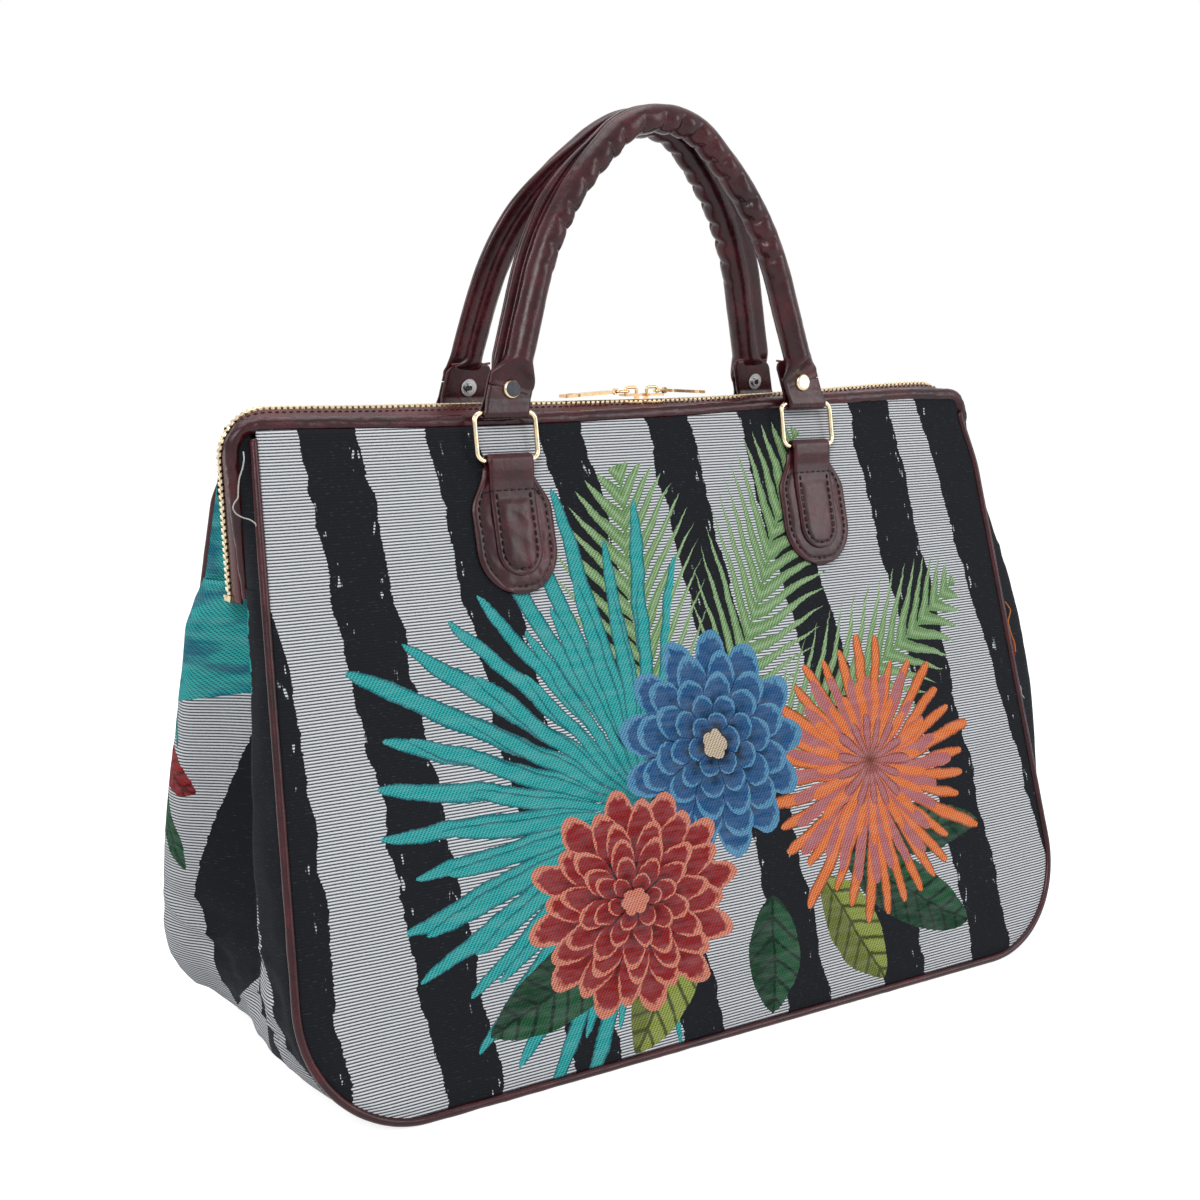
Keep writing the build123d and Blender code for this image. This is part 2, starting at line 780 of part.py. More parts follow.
save_both(panel(), "panel")
save_both(piping(), "piping")
save(gusset(), "gusset")
save(lining(), "lining")
save(base_board(), "base_board")
save_both(rim_cover(), "rim_cover")
save_both(frame_wire(), "frame_wire")
save(tape(), "front_zip_tape")
save(mirror(tape(), about=Plane.XZ), "back_zip_tape")
save(teeth(0), "front_zip_teeth")
save(mirror(teeth(0.5), about=Plane.XZ), "back_zip_teeth")
save(end_stops(), "zip_end_stops")

save(on_left(slider()), "left_slider")
save(on_right(slider()), "right_slider")
save(on_left(link()), "left_link")
save(on_right(swung(link(), right_pull_swing)), "right_link")
save(on_left(pull()), "left_pull")
save(on_right(swung(pull(), right_pull_swing)), "right_pull")

for side, name in [(-1, "left"), (1, "right")]:
    save(at_tab(tab(), side), f"front_{name}_tab")
    save(turn_back * at_tab(tab(), -side), f"back_{name}_tab")
    save(at_tab(ring(), side), f"front_{name}_ring")
    save(turn_back * at_tab(ring(), -side), f"back_{name}_ring")

for end, angle, spin in [("front", handle_lean_front, 0), ("back", handle_lean_back, 180)]:
    place = Rot(0, 0, spin) * handle_plane(angle).location
    save(place * handle_cover(), f"{end}_handle_cover")
    save(place * handle_core(), f"{end}_handle_core")
    save(place * rivets(), f"{end}_handle_rivets")
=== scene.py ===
from functools import reduce
from math import acos, asin, atan2, ceil, cos, exp, hypot, pi, radians, sin, sqrt, tan

import bpy
import numpy as np
from mathutils import Matrix, Vector, noise


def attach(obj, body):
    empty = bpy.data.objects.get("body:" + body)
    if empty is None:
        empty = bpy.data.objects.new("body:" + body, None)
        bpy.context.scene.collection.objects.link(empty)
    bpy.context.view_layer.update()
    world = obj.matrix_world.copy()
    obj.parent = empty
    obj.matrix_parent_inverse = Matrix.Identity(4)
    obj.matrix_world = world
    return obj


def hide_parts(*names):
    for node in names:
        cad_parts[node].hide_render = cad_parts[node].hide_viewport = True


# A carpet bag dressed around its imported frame: tapestry, glossy leatherette, brass zip and fittings.
# Lengths are millimetres here and in the shaders, and become metres in add_mesh. +Z is up, the front towards -Y.

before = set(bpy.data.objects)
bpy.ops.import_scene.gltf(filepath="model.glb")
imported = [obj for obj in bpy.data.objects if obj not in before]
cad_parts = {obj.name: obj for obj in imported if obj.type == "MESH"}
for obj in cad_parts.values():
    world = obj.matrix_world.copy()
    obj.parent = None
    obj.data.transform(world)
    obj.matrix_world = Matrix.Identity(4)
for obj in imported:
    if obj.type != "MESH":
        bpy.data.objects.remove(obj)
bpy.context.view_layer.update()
MM = 0.001

# Driving sizes of the body, as in the part
BOTTOM_WIDTH = 500.0
TOP_WIDTH = 463.0
PANEL_RISE = 313.0
BOTTOM_DEPTH = 189.0
TOP_DEPTH = 33.0
CORNER_RADIUS = 59.0
SEAM_INSET = 2.2
BASE_Z = 2.2
PANEL_TOP = 323.6
LEAN = atan2((BOTTOM_DEPTH - TOP_DEPTH) / 2, PANEL_RISE)
SIDE_SLOPE = (BOTTOM_WIDTH - TOP_WIDTH) / 2 / hypot(PANEL_RISE, (BOTTOM_DEPTH - TOP_DEPTH) / 2)
SIDE_TILT = atan2(SIDE_SLOPE, 1)
CORNER_X = BOTTOM_WIDTH / 2 - CORNER_RADIUS * (1 + sin(SIDE_TILT)) / cos(SIDE_TILT)

# Mouth and zip
MOUTH_Y = 13.0
RIM_HEIGHT = 320.2
RIM_CORNER_X = 243.0
RIM_LEG_X = 237.0
RIM_FOOT = 242.0
RIM_CORNER_RADIUS = 12.0
BACK_RIM_CORNER_RADIUS = 30.0
RIM_SKIN = (3.9, 3.3, 1.9)  # along the top, down the legs and at their feet
ZIP_HEIGHT = 326.9
ZIP_CORNER_X = 242.4
ZIP_LEG_X = 238.6
ZIP_FOOT = 243.0
ZIP_CORNER_RADIUS = 23.0
ZIP_TAIL = 6.0

# Gusset
PLEAT_DEPTH = 30.0
PLEAT_FOOT = 24.0
PLEAT_TOP = 249.0
SLIT_FOOT = 236.0
STRIP_TOP = 12.0
STRIP_FOOT = 26.0
PLEAT_BULGE = 2.5

# Tabs, rings and handles
TAB_X = 99.0
RING_SEAT = 305.2
RING_OUT = 5.15
RING_STAND = 7.2
RING_HEIGHT = 23.5
STRAP_WIDTH = 26.0
ARCH = [(69.0, 101.0), (19.5, 149.5)]
ARCH_RADII = [150.0, 43.0]
ROLL_RADIUS = 7.5
ROLL_OFFSET = 3.0
HANDLE_LEAN = {"front": 4.6, "back": 7.6}
FIN_OFFSET = 4.5


def V(*xyz):
    return np.array(xyz, float)


def unit(a):
    a = np.asarray(a, float)
    return a / np.maximum(np.linalg.norm(a, axis=-1, keepdims=True), 1e-12)


def smooth(t):
    t = np.clip(t, 0, 1)
    return t * t * (3 - 2 * t)


def rough(x, y, z=0.0, detail=3):
    """Smooth noise of about -1 to 1."""
    return noise.fractal(Vector((float(x), float(y), float(z))), 1.0, 2.0, detail)


# Mesh building


def settled(points):
    """The back's lower left corner has sunk inwards, and the soft pieces there go with it."""
    x, y, z = points.T
    near = np.exp(-(((x + 252) / 60) ** 2) - (z / 78) ** 2) * smooth((y + 30) / 70)
    return points + near[:, None] * V(13, 0, 0)


def add_mesh(name, points, faces, material, body="bag", sharp=False):
    """points in millimetres."""
    points = np.asarray(points, float)
    if body == "bag":
        points = settled(points)
    mesh = bpy.data.meshes.new(name)
    mesh.from_pydata([tuple(p) for p in points * MM], [], [tuple(f) for f in faces])
    mesh.validate()
    mesh.update()
    if not sharp:
        mesh.polygons.foreach_set("use_smooth", [True] * len(mesh.polygons))
    thing = bpy.data.objects.new(name, mesh)
    bpy.context.scene.collection.objects.link(thing)
    mesh.materials.append(material)
    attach(thing, body)
    return thing


def grid_faces(rows, columns, wrap_rows=False, wrap_columns=False, start=0, flip=False):
    faces = []
    for i in range(rows if wrap_rows else rows - 1):
        for j in range(columns if wrap_columns else columns - 1):
            a = i * columns + j
            b = i * columns + (j + 1) % columns
            c = (i + 1) % rows * columns + (j + 1) % columns
            d = (i + 1) % rows * columns + j
            face = (start + a, start + b, start + c, start + d)
            faces.append(face[::-1] if flip else face)
    return faces


class Pile:
    """Collects the points and faces of one piece made of several parts."""

    def __init__(self):
        self.points = []
        self.faces = []
        self.size = 0

    def add(self, points, faces):
        points = np.asarray(points, float).reshape(-1, 3)
        self.points.append(points)
        self.faces += [tuple(i + self.size for i in f) for f in faces]
        self.size += len(points)

    def build(self, name, material, body="bag", sharp=False):
        return add_mesh(name, np.vstack(self.points), self.faces, material, body, sharp)


def shell(outer, inner):
    """Closed skin between two grids of points of one shape."""
    rows, columns = outer.shape[:2]
    points = np.vstack([outer.reshape(-1, 3), inner.reshape(-1, 3)])
    n = rows * columns
    faces = grid_faces(rows, columns) + grid_faces(rows, columns, start=n, flip=True)
    edge = [j for j in range(columns)]
    edge += [i * columns + columns - 1 for i in range(1, rows)]
    edge += [(rows - 1) * columns + j for j in range(columns - 2, -1, -1)]
    edge += [i * columns for i in range(rows - 2, 0, -1)]
    for k, a in enumerate(edge):
        b = edge[(k + 1) % len(edge)]
        faces.append((a, a + n, b + n, b))
    return points, faces


def frames_along(path, up):
    """Tangent, side and top directions at each point of a path, the top kept near a given one."""
    ahead = unit(np.gradient(path, axis=0))
    up = np.broadcast_to(np.asarray(up, float), path.shape)
    side = unit(np.cross(ahead, up))
    return ahead, side, np.cross(side, ahead)


def tube(path, radius, up, segments=16, shape=None, ends=True):
    """Round skin along a path. shape(i, angle) changes the radius, the angle counted from the top."""
    ahead, side, top = frames_along(path, up)
    angles = np.linspace(0, 2 * pi, segments, endpoint=False)
    rows = []
    for i, p in enumerate(path):
        r = np.broadcast_to(np.asarray(radius if np.isscalar(radius) else radius[i], float), angles.shape)
        if shape is not None:
            r = r + shape(i, angles)
        rows.append(p + r[:, None] * (np.cos(angles)[:, None] * top[i] + np.sin(angles)[:, None] * side[i]))
    points = np.array(rows)
    faces = grid_faces(len(path), segments, wrap_columns=True)
    flat = points.reshape(-1, 3)
    if ends:
        n = len(flat)
        flat = np.vstack([flat, path[0], path[-1]])
        last = (len(path) - 1) * segments
        for j in range(segments):
            k = (j + 1) % segments
            faces.append((n, k, j))
            faces.append((n + 1, last + j, last + k))
    return flat, faces


def resample(path, step):
    """Points of even spacing along a path."""
    path = np.asarray(path, float)
    run = np.concatenate([[0], np.cumsum(np.linalg.norm(np.diff(path, axis=0), axis=1))])
    count = max(int(ceil(run[-1] / step)), 2)
    at = np.linspace(0, run[-1], count + 1)
    return np.stack([np.interp(at, run, path[:, k]) for k in range(path.shape[1])], 1)


def path_length(path):
    return float(np.sum(np.linalg.norm(np.diff(path, axis=0), axis=1)))


def rounded_path(corners, radii, step=1.0):
    """Open polyline in a plane with its inner corners rounded."""
    corners = [np.array(c, float) for c in corners]
    points = [corners[0]]
    for before, corner, after, radius in zip(corners, corners[1:], corners[2:], radii):
        back, ahead = unit(before - corner), unit(after - corner)
        half = acos(float(np.clip(back @ ahead, -1, 1))) / 2
        cut = radius / tan(half)
        middle = unit(back + ahead)
        centre = corner + middle * radius / sin(half)
        start, end = corner + back * cut - centre, corner + ahead * cut - centre
        turn = pi - 2 * half
        for t in np.linspace(0, 1, max(int(radius * turn / step), 6) + 1):
            points.append(centre + (start * sin((1 - t) * turn) + end * sin(t * turn)) / sin(turn))
    points.append(corners[-1])
    return resample(points, step)


def mirror_x(points):
    return [(-x, *rest) for x, *rest in points]


def turned(points, back):
    """The same points on the back half of the bag, if back is true."""
    points = np.asarray(points, float)
    return points * V(-1, -1, 1) if back else points


# Body geometry


def half_depth(z):
    return BOTTOM_DEPTH / 2 - (z - BASE_Z) * (BOTTOM_DEPTH - TOP_DEPTH) / 2 / PANEL_RISE


def half_width(z):
    return BOTTOM_WIDTH / 2 - (z - BASE_Z) * (BOTTOM_WIDTH - TOP_WIDTH) / 2 / PANEL_RISE


PANEL_OUT = V(0, -cos(LEAN), sin(LEAN))
PANEL_UP = V(0, sin(LEAN), cos(LEAN))
PANEL_FOOT = V(0, -BOTTOM_DEPTH / 2, BASE_Z)


def on_panel(u, v, out=0.0):
    u, v, out = np.broadcast_arrays(np.asarray(u, float), np.asarray(v, float), np.asarray(out, float))
    across = u[..., None] * V(1, 0, 0)
    return PANEL_FOOT + across + v[..., None] * PANEL_UP + out[..., None] * PANEL_OUT


def outline_half(v, inset=0.0):
    """Half width of a panel at a distance up it, its sides and foot moved in by the inset."""
    side = BOTTOM_WIDTH / 2 - SIDE_SLOPE * v - inset * hypot(1, SIDE_SLOPE)
    radius = CORNER_RADIUS - inset
    centre = CORNER_RADIUS
    if v >= centre + radius * sin(SIDE_TILT):
        return side
    low = min(max(centre - v, 0), radius) if v < centre else centre - v
    return CORNER_X + sqrt(max(radius**2 - low**2, 0))


# Shader helpers: each node's output can be handed to the next as it is


class Shader:
    def __init__(self, name):
        self.material = bpy.data.materials.new(name)
        self.material.use_nodes = True
        self.nodes = self.material.node_tree.nodes
        self.links = self.material.node_tree.links
        self.surface = self.nodes["Principled BSDF"]
        self.place = self.node("ShaderNodeTexCoord").outputs["Object"]

    def node(self, kind, **settings):
        made = self.nodes.new(kind)
        for key, value in settings.items():
            setattr(made, key, value)
        return made

    def put(self, socket, value):
        if isinstance(value, bpy.types.NodeSocket):
            self.links.new(value, socket)
        elif isinstance(value, (tuple, list)) and len(value) == 3 and socket.type == "RGBA":
            socket.default_value = (*value, 1.0)
        else:
            socket.default_value = value

    def math(self, operation, *values, clamp=False):
        made = self.node("ShaderNodeMath", operation=operation, use_clamp=clamp)
        for socket, value in zip(made.inputs, values):
            self.put(socket, value)
        return made.outputs[0]

    def fold(self, operation, values):
        return reduce(lambda total, value: self.math(operation, total, value), values)

    def add(self, *values):
        return self.fold("ADD", values)

    def minus(self, a, b):
        return self.math("SUBTRACT", a, b)

    def times(self, a, b):
        return self.math("MULTIPLY", a, b)

    def less(self, a, b):
        return self.math("LESS_THAN", a, b)

    def size(self, value):
        return self.math("ABSOLUTE", value)

    def least(self, *values):
        return self.fold("MINIMUM", values)

    def most(self, *values):
        return self.fold("MAXIMUM", values)

    def step(self, value, low, high):
        """0 below low, 1 above high, straight between."""
        made = self.node("ShaderNodeMapRange", clamp=True)
        self.put(made.inputs["Value"], value)
        self.put(made.inputs["From Min"], low)
        self.put(made.inputs["From Max"], high)
        return made.outputs["Result"]

    def mix(self, share, a, b):
        made = self.node("ShaderNodeMix", data_type="RGBA")
        self.put(made.inputs["Factor"], share)
        self.put(made.inputs[6], a)
        self.put(made.inputs[7], b)
        return made.outputs[2]

    def split(self, vector):
        return self.node_from("ShaderNodeSeparateXYZ", vector).outputs

    def node_from(self, kind, *values, **settings):
        made = self.node(kind, **settings)
        for socket, value in zip(made.inputs, values):
            self.put(socket, value)
        return made

    def vector(self, x, y, z=0.0):
        return self.node_from("ShaderNodeCombineXYZ", x, y, z).outputs[0]

    def noise(self, vector, scale, detail=2.0, roughness=0.5, distortion=0.0):
        made = self.node("ShaderNodeTexNoise")
        self.put(made.inputs["Vector"], vector)
        self.put(made.inputs["Scale"], scale)
        self.put(made.inputs["Detail"], detail)
        self.put(made.inputs["Roughness"], roughness)
        self.put(made.inputs["Distortion"], distortion)
        return made.outputs["Fac"]

    def cells(self, vector, scale, feature="F1", randomness=1.0):
        made = self.node("ShaderNodeTexVoronoi", feature=feature)
        self.put(made.inputs["Vector"], vector)
        self.put(made.inputs["Scale"], scale)
        self.put(made.inputs["Randomness"], randomness)
        return made.outputs["Distance"]

    def bump(self, height, distance, strength=1.0, normal=None):
        made = self.node("ShaderNodeBump")
        self.put(made.inputs["Height"], height)
        made.inputs["Distance"].default_value = distance
        made.inputs["Strength"].default_value = strength
        if normal is not None:
            self.put(made.inputs["Normal"], normal)
        return made.outputs[0]

    def finish(self, colour, roughness, normal=None, **constants):
        self.put(self.surface.inputs["Base Color"], colour)
        self.put(self.surface.inputs["Roughness"], roughness)
        if normal is not None:
            self.put(self.surface.inputs["Normal"], normal)
        for name, value in constants.items():
            self.surface.inputs[name.replace("_", " ")].default_value = value
        return self.material


# Print and weave

WHITE = (0.68, 0.70, 0.73)
RIB_SHADE = (0.022, 0.028, 0.038)
BLACK = (0.009, 0.010, 0.013)
FLECK = (0.03, 0.055, 0.07)
GREEN = (0.17, 0.32, 0.12)
PALE_GREEN = (0.30, 0.46, 0.23)
TEAL = (0.035, 0.40, 0.40)
DEEP_TEAL = (0.006, 0.13, 0.16)
ORANGE = (0.85, 0.22, 0.06)
RUST = (0.20, 0.045, 0.02)
CORAL = (0.66, 0.15, 0.10)
PINK = (0.50, 0.17, 0.18)
RED = (0.30, 0.018, 0.020)
SALMON = (0.70, 0.24, 0.16)
DEEP_GREEN = (0.018, 0.095, 0.04)
LIME = (0.30, 0.36, 0.07)
BLUE = (0.022, 0.10, 0.26)
PALE_BLUE = (0.10, 0.30, 0.50)
NAVY = (0.004, 0.009, 0.022)
CREAM = (0.60, 0.49, 0.36)

# Black stripes of the front: middle at the mouth, middle at the foot and half width
STRIPES = [
    (-243.0, -241.0, 14.5),
    (-195.0, -163.0, 16.0),
    (-127.0, -92.0, 14.5),
    (-62.0, -26.0, 13.5),
    (5.0, 47.0, 15.0),
    (69.0, 117.0, 15.5),
    (152.0, 187.0, 15.5),
    (220.0, 282.0, 30.0),
]


class Print(Shader):
    """The tapestry's print in millimetres across (u) and up (v) the cloth."""

    def __init__(self, name, u, v):
        super().__init__(name)
        x, y, z = self.split(self.place)
        axes = {"x": x, "y": y, "z": z}
        self.u = self.millimetres(axes, u)
        self.v = self.millimetres(axes, v)

    def millimetres(self, axes, terms):
        """A sum of object coordinates, given as {axis: factor} with a constant under 1."""
        parts = [self.times(axes[k], factor * 1000) for k, factor in terms.items() if k in axes]
        return self.add(*parts, terms.get("1", 0.0))

    def streaks(self, x, y, seed, detail=2.0, roughness=0.5):
        """Noise stretched by a factor across and one up the cloth."""
        stretched = self.vector(self.times(self.u, x), self.times(self.v, y), seed)
        return self.noise(stretched, 1.0, detail, roughness)

    def at(self, u, v, turn=0.0):
        """Coordinates along and across a motif placed at u, v and turned anticlockwise."""
        du, dv = self.minus(self.u_art, u), self.minus(self.v_art, v)
        c, s = cos(radians(turn)), sin(radians(turn))
        along = self.add(self.times(du, c), self.times(dv, s))
        across = self.add(self.times(du, -s), self.times(dv, c))
        return along, across

    def prepare(self, seed):
        """Coordinates shaken a little, so that edges are ragged."""
        shake = self.minus(self.streaks(0.16, 0.5, seed, 3.0, 0.6), 0.5)
        lift = self.minus(self.streaks(0.5, 0.16, seed + 7), 0.5)
        self.u_soft = self.add(self.u, self.times(shake, 1.8))
        self.v_soft = self.add(self.v, self.times(lift, 1.4))
        bend = self.minus(self.streaks(0.028, 0.028, seed), 0.5)
        sway = self.minus(self.streaks(0.03, 0.03, seed + 31), 0.5)
        self.u_art = self.add(self.u_soft, self.times(bend, 7.0))
        self.v_art = self.add(self.v_soft, self.times(sway, 7.0))

    def stripes(self, stripes, top=322.0, foot=5.0):
        """Share of black, 1 inside a stripe, with dry-brush edges."""
        drift = self.times(self.minus(self.streaks(0.012, 0.03, 3.0, 2.0, 0.6), 0.5), 14.0)
        fray = self.times(self.minus(self.streaks(0.05, 0.42, 9.0, 3.0, 0.7), 0.5), 3.6)
        fall = self.minus(top, self.v)
        distances = []
        for upper, lower, half in stripes:
            middle = self.add(self.times(fall, (lower - upper) / (top - foot)), upper)
            gap = self.size(self.add(self.u, drift, self.times(middle, -1.0)))
            distances.append(self.minus(gap, half))
        edge = self.add(self.least(*distances), fray)
        streak = self.streaks(0.33, 0.085, 21.0, 2.0, 0.6)
        band = self.step(self.size(self.add(edge, 3.5)), 4.5, 2.0)
        gone = self.times(band, self.step(streak, 0.66, 0.68))
        return self.times(self.less(edge, 0.0), self.minus(1.0, gone))

    def leaf(self, place, turn, length, width, ribs=5.0, bend=0.0):
        """A pointed leaf: its mask and its vein pattern."""
        x, y = self.at(*place, turn)
        share = self.times(x, 1.0 / length)
        y = self.add(y, self.times(self.times(x, x), bend / length))
        body = self.most(self.times(share, self.minus(1.0, share)), 0.0)
        half = self.times(self.math("POWER", self.times(body, 4.0), 0.75), width / 2)
        size = self.size(y)
        mask = self.less(size, half)
        rib = self.math("FRACT", self.times(self.add(x, self.times(size, -0.8)), 1.0 / ribs))
        veins = self.step(self.size(self.minus(rib, 0.5)), 0.33, 0.45)
        spine = self.less(size, 0.8)
        return mask, self.most(veins, spine)

    def frond(self, place, turn, length, width, pitch=5.4, sweep=0.9, duty=0.62, bend=0.0):
        """A feathered frond: leaflets set on both sides of a rib."""
        x, y = self.at(*place, turn)
        share = self.times(x, 1.0 / length)
        y = self.add(y, self.times(self.times(x, x), bend / length))
        size = self.size(y)
        body = self.most(self.times(share, self.minus(1.0, share)), 0.0)
        half = self.times(self.math("POWER", self.times(body, 4.0), 0.45), width / 2)
        along = self.times(self.add(x, self.times(size, -sweep)), 1.0 / pitch)
        row = self.size(self.minus(self.math("FRACT", along), 0.5))
        thin = self.times(self.minus(1.0, self.math("DIVIDE", size, half)), duty / 2 + 0.1)
        leaflet = self.times(self.less(row, thin), self.less(size, half))
        rib = self.times(self.less(size, 1.0), self.less(0.0, body))
        return self.most(leaflet, rib), row

    def flower(self, place, radius, petals, turn=0.0, depth=0.3, squash=1.0, point=0.7):
        """Petals round a middle: mask, a share of the radius and a petal pattern."""
        x, y = self.at(*place, turn)
        y = self.times(y, squash)
        reach = self.math("SQRT", self.add(self.times(x, x), self.times(y, y)))
        angle = self.times(self.math("ARCTAN2", y, x), petals / 2)
        wave = self.math("POWER", self.size(self.math("COSINE", angle)), point)
        limit = self.times(self.add(self.times(wave, depth), 1.0 - depth), radius)
        share = self.math("DIVIDE", reach, limit)
        return self.less(share, 1.0), share, wave

    def fan(self, place, turn, spread, radius, count, fringe=0.5):
        """Narrow pointed blades fanning out of one place: their mask and a share of their reach."""
        x, y = self.at(*place, turn)
        reach = self.math("SQRT", self.add(self.times(x, x), self.times(y, y)))
        angle = self.math("ARCTAN2", y, x)
        turns = self.times(angle, count / (2 * pi))
        cell = self.math("FLOOR", turns)
        chance = self.noise(self.vector(self.times(cell, 3.7), place[0], 2.0), 1.0, 0.0)
        limit = self.times(self.add(self.times(chance, 0.7), 0.62), radius)
        share = self.math("DIVIDE", reach, limit)
        middle = self.size(self.minus(self.math("FRACT", turns), 0.5))
        body = self.most(self.minus(1.0, share), 0.0)
        half = self.times(self.math("POWER", body, fringe), 0.52)
        mask = self.times(self.less(middle, half), self.less(self.size(angle), radians(spread) / 2))
        return mask, share, self.math("DIVIDE", middle, self.most(half, 0.01))


RIB_PITCH = 1.5
WARP_PITCH = 1.0
TWILL_PITCH = 2.0


def cloth_finish(p, colour, black, coloured):
    """Adds the weave to a print: ribs on the white, flecks on the black, dots on the colours."""
    ribs = p.math("SINE", p.times(p.v, 2 * pi / RIB_PITCH))
    warp = p.math("SINE", p.times(p.u, 2 * pi / WARP_PITCH))
    lean = p.add(p.u, p.times(p.v, 0.6))
    twill = p.math("SINE", p.times(lean, 2 * pi / TWILL_PITCH))
    dots = p.times(ribs, twill)
    grain = p.streaks(0.9, 2.6, 4.0)
    rib_share = p.step(ribs, -0.5, 0.4)
    white = p.mix(rib_share, RIB_SHADE, WHITE)
    white = p.mix(p.times(p.step(grain, 0.35, 0.75), 0.22), white, (0.62, 0.64, 0.66))
    flecks = p.times(p.step(p.streaks(0.35, 1.4, 12.0, 1.0), 0.6, 0.75), p.step(ribs, 0.2, 0.9))
    dark = p.mix(flecks, BLACK, FLECK)
    ground = p.mix(black, white, dark)
    ink = p.mix(p.times(p.step(dots, 0.05, 0.55), 0.85), colour, (0.006, 0.010, 0.012))
    shade = p.streaks(0.06, 0.25, 5.0, 3.0, 0.6)
    ink = p.mix(p.times(p.step(shade, 0.4, 0.75), 0.22), ink, p.mix(0.35, colour, WHITE))
    cloth = p.mix(coloured, ground, ink)
    height = p.add(p.times(ribs, 0.5), p.times(warp, 0.25), p.times(grain, 0.5))
    normal = p.bump(height, 0.00022, 0.6)
    return p.finish(cloth, 0.82, normal, Specular_IOR_Level=0.12)


def rosette(p, lay, place, rings, dark, mid, light, point=0.7, depth=0.34, squash=1.0):
    """A flower of many rings of petals, each shaded from its root to a pale edge, with dark gaps."""
    streak = p.streaks(0.28, 0.28, place[0], 2.0, 0.6)
    for radius, petals, turn in rings:
        mask, share, wave = p.flower(place, radius, petals, turn, depth, squash, point)
        inner = p.step(p.add(share, p.times(streak, 0.5)), 0.75, 1.05)
        petal = p.mix(inner, dark, mid)
        edge = p.times(p.step(p.add(share, p.times(streak, 0.16)), 0.99, 1.02), p.step(wave, 0.25, 0.45))
        petal = p.mix(edge, petal, light)
        lay(mask, p.mix(p.less(wave, 0.2), petal, tuple(0.15 * c for c in dark)))


def front_cloth():
    """Front panel: black stripes with a generic bunch of leaves and flowers."""
    p = Print("tapestry_front", {"x": 1.0}, {"z": 1 / cos(LEAN), "1": -BASE_Z / cos(LEAN)})
    p.prepare(1.0)
    # At the left the first black stripe only starts below the mouth
    from_side = p.add(p.u_soft, p.times(p.v, -SIDE_SLOPE), BOTTOM_WIDTH / 2)
    wedge = p.less(p.times(p.minus(252.0, p.v), 0.24), from_side)
    first = p.times(p.stripes(STRIPES[:1]), p.minus(1.0, wedge))
    black = p.most(first, p.stripes(STRIPES[1:]))
    colour = BLACK
    covered = []

    def lay(mask, tint):
        nonlocal colour
        colour = p.mix(mask, colour, tint)
        covered.append(mask)

    # Feathered fronds behind, fanning out to the right and over the middle
    for place, turn, length, width, bend in [
        ((-30, 168), 97, 132, 100, 0.12),
        ((10, 160), 56, 176, 92, -0.10),
        ((30, 140), 18, 188, 84, -0.14),
    ]:
        mask, row = p.frond(place, turn, length, width, 12.0, 1.15, 0.72, bend)
        lay(mask, p.mix(p.step(row, 0.04, 0.22), PALE_GREEN, GREEN))

    # A blue-green fan leaf behind, spreading to the left
    for place, turn, spread, radius, count in [
        ((-40, 128), 166, 172, 160, 42),
        ((-44, 122), 172, 200, 124, 38),
    ]:
        mask, share, middle = p.fan(place, turn, spread, radius, count, 0.5)
        tint = p.mix(p.step(middle, 0.62, 0.95), TEAL, DEEP_TEAL)
        lay(mask, p.mix(p.step(share, 0.3, 0.0), tint, DEEP_TEAL))

    # Dark and lime leaves under the bunch
    for place, turn, length, width, tint in [
        ((-40, 70), 200, 118, 36, DEEP_GREEN),
        ((-20, 66), 232, 80, 34, LIME),
        ((30, 66), 262, 62, 34, DEEP_GREEN),
        ((66, 70), 300, 72, 34, LIME),
        ((84, 76), 330, 100, 36, DEEP_GREEN),
        ((90, 88), 356, 100, 28, DEEP_GREEN),
    ]:
        mask, veins = p.leaf(place, turn, length, width, 11.0)
        x, y = p.at(*place, turn)
        half = p.mix(p.step(y, -3.0, 3.0), tuple(0.55 * c for c in tint), tint)
        lay(mask, p.mix(veins, half, tuple(0.22 * c for c in tint)))

    # Shaggy orange and pink flower at the right
    for place, turn, spread, radius, count, tint, root in [
        ((112, 118), 20, 360, 76, 34, ORANGE, RUST),
        ((108, 120), 60, 360, 60, 27, PINK, CORAL),
        ((112, 124), 100, 360, 44, 21, ORANGE, CORAL),
        ((114, 126), 10, 360, 27, 15, PINK, RUST),
    ]:
        mask, share, middle = p.fan(place, turn, spread, radius, count, 0.32)
        petal = p.mix(p.step(middle, 0.55, 0.98), tint, root)
        lay(mask, p.mix(p.step(share, 0.3, 0.0), petal, root))

    # Blue flower in the middle
    rings = [(60, 13, 0), (50, 12, 14), (39, 10, 4), (28, 9, 20), (17, 6, 7)]
    rosette(p, lay, (4, 150), rings, NAVY, BLUE, PALE_BLUE, 0.55, 0.3)
    mask, share, wave = p.flower((4, 150), 8, 5, 0, 0.2)
    lay(mask, CREAM)

    # Red flower at the lower left, with pale edges to its petals
    rings = [(66, 12, 5), (57, 12, 20), (47, 11, 2), (37, 9, 21), (27, 8, 8), (17, 6, 2)]
    rosette(p, lay, (-58, 78), rings, tuple(0.4 * c for c in RED), RED, SALMON, 0.9, 0.42, 1.15)
    mask, share, wave = p.flower((-58, 78), 8, 6, 0, 0.2, 1.1)
    lay(mask, SALMON)

    return cloth_finish(p, colour, black, p.most(*covered))


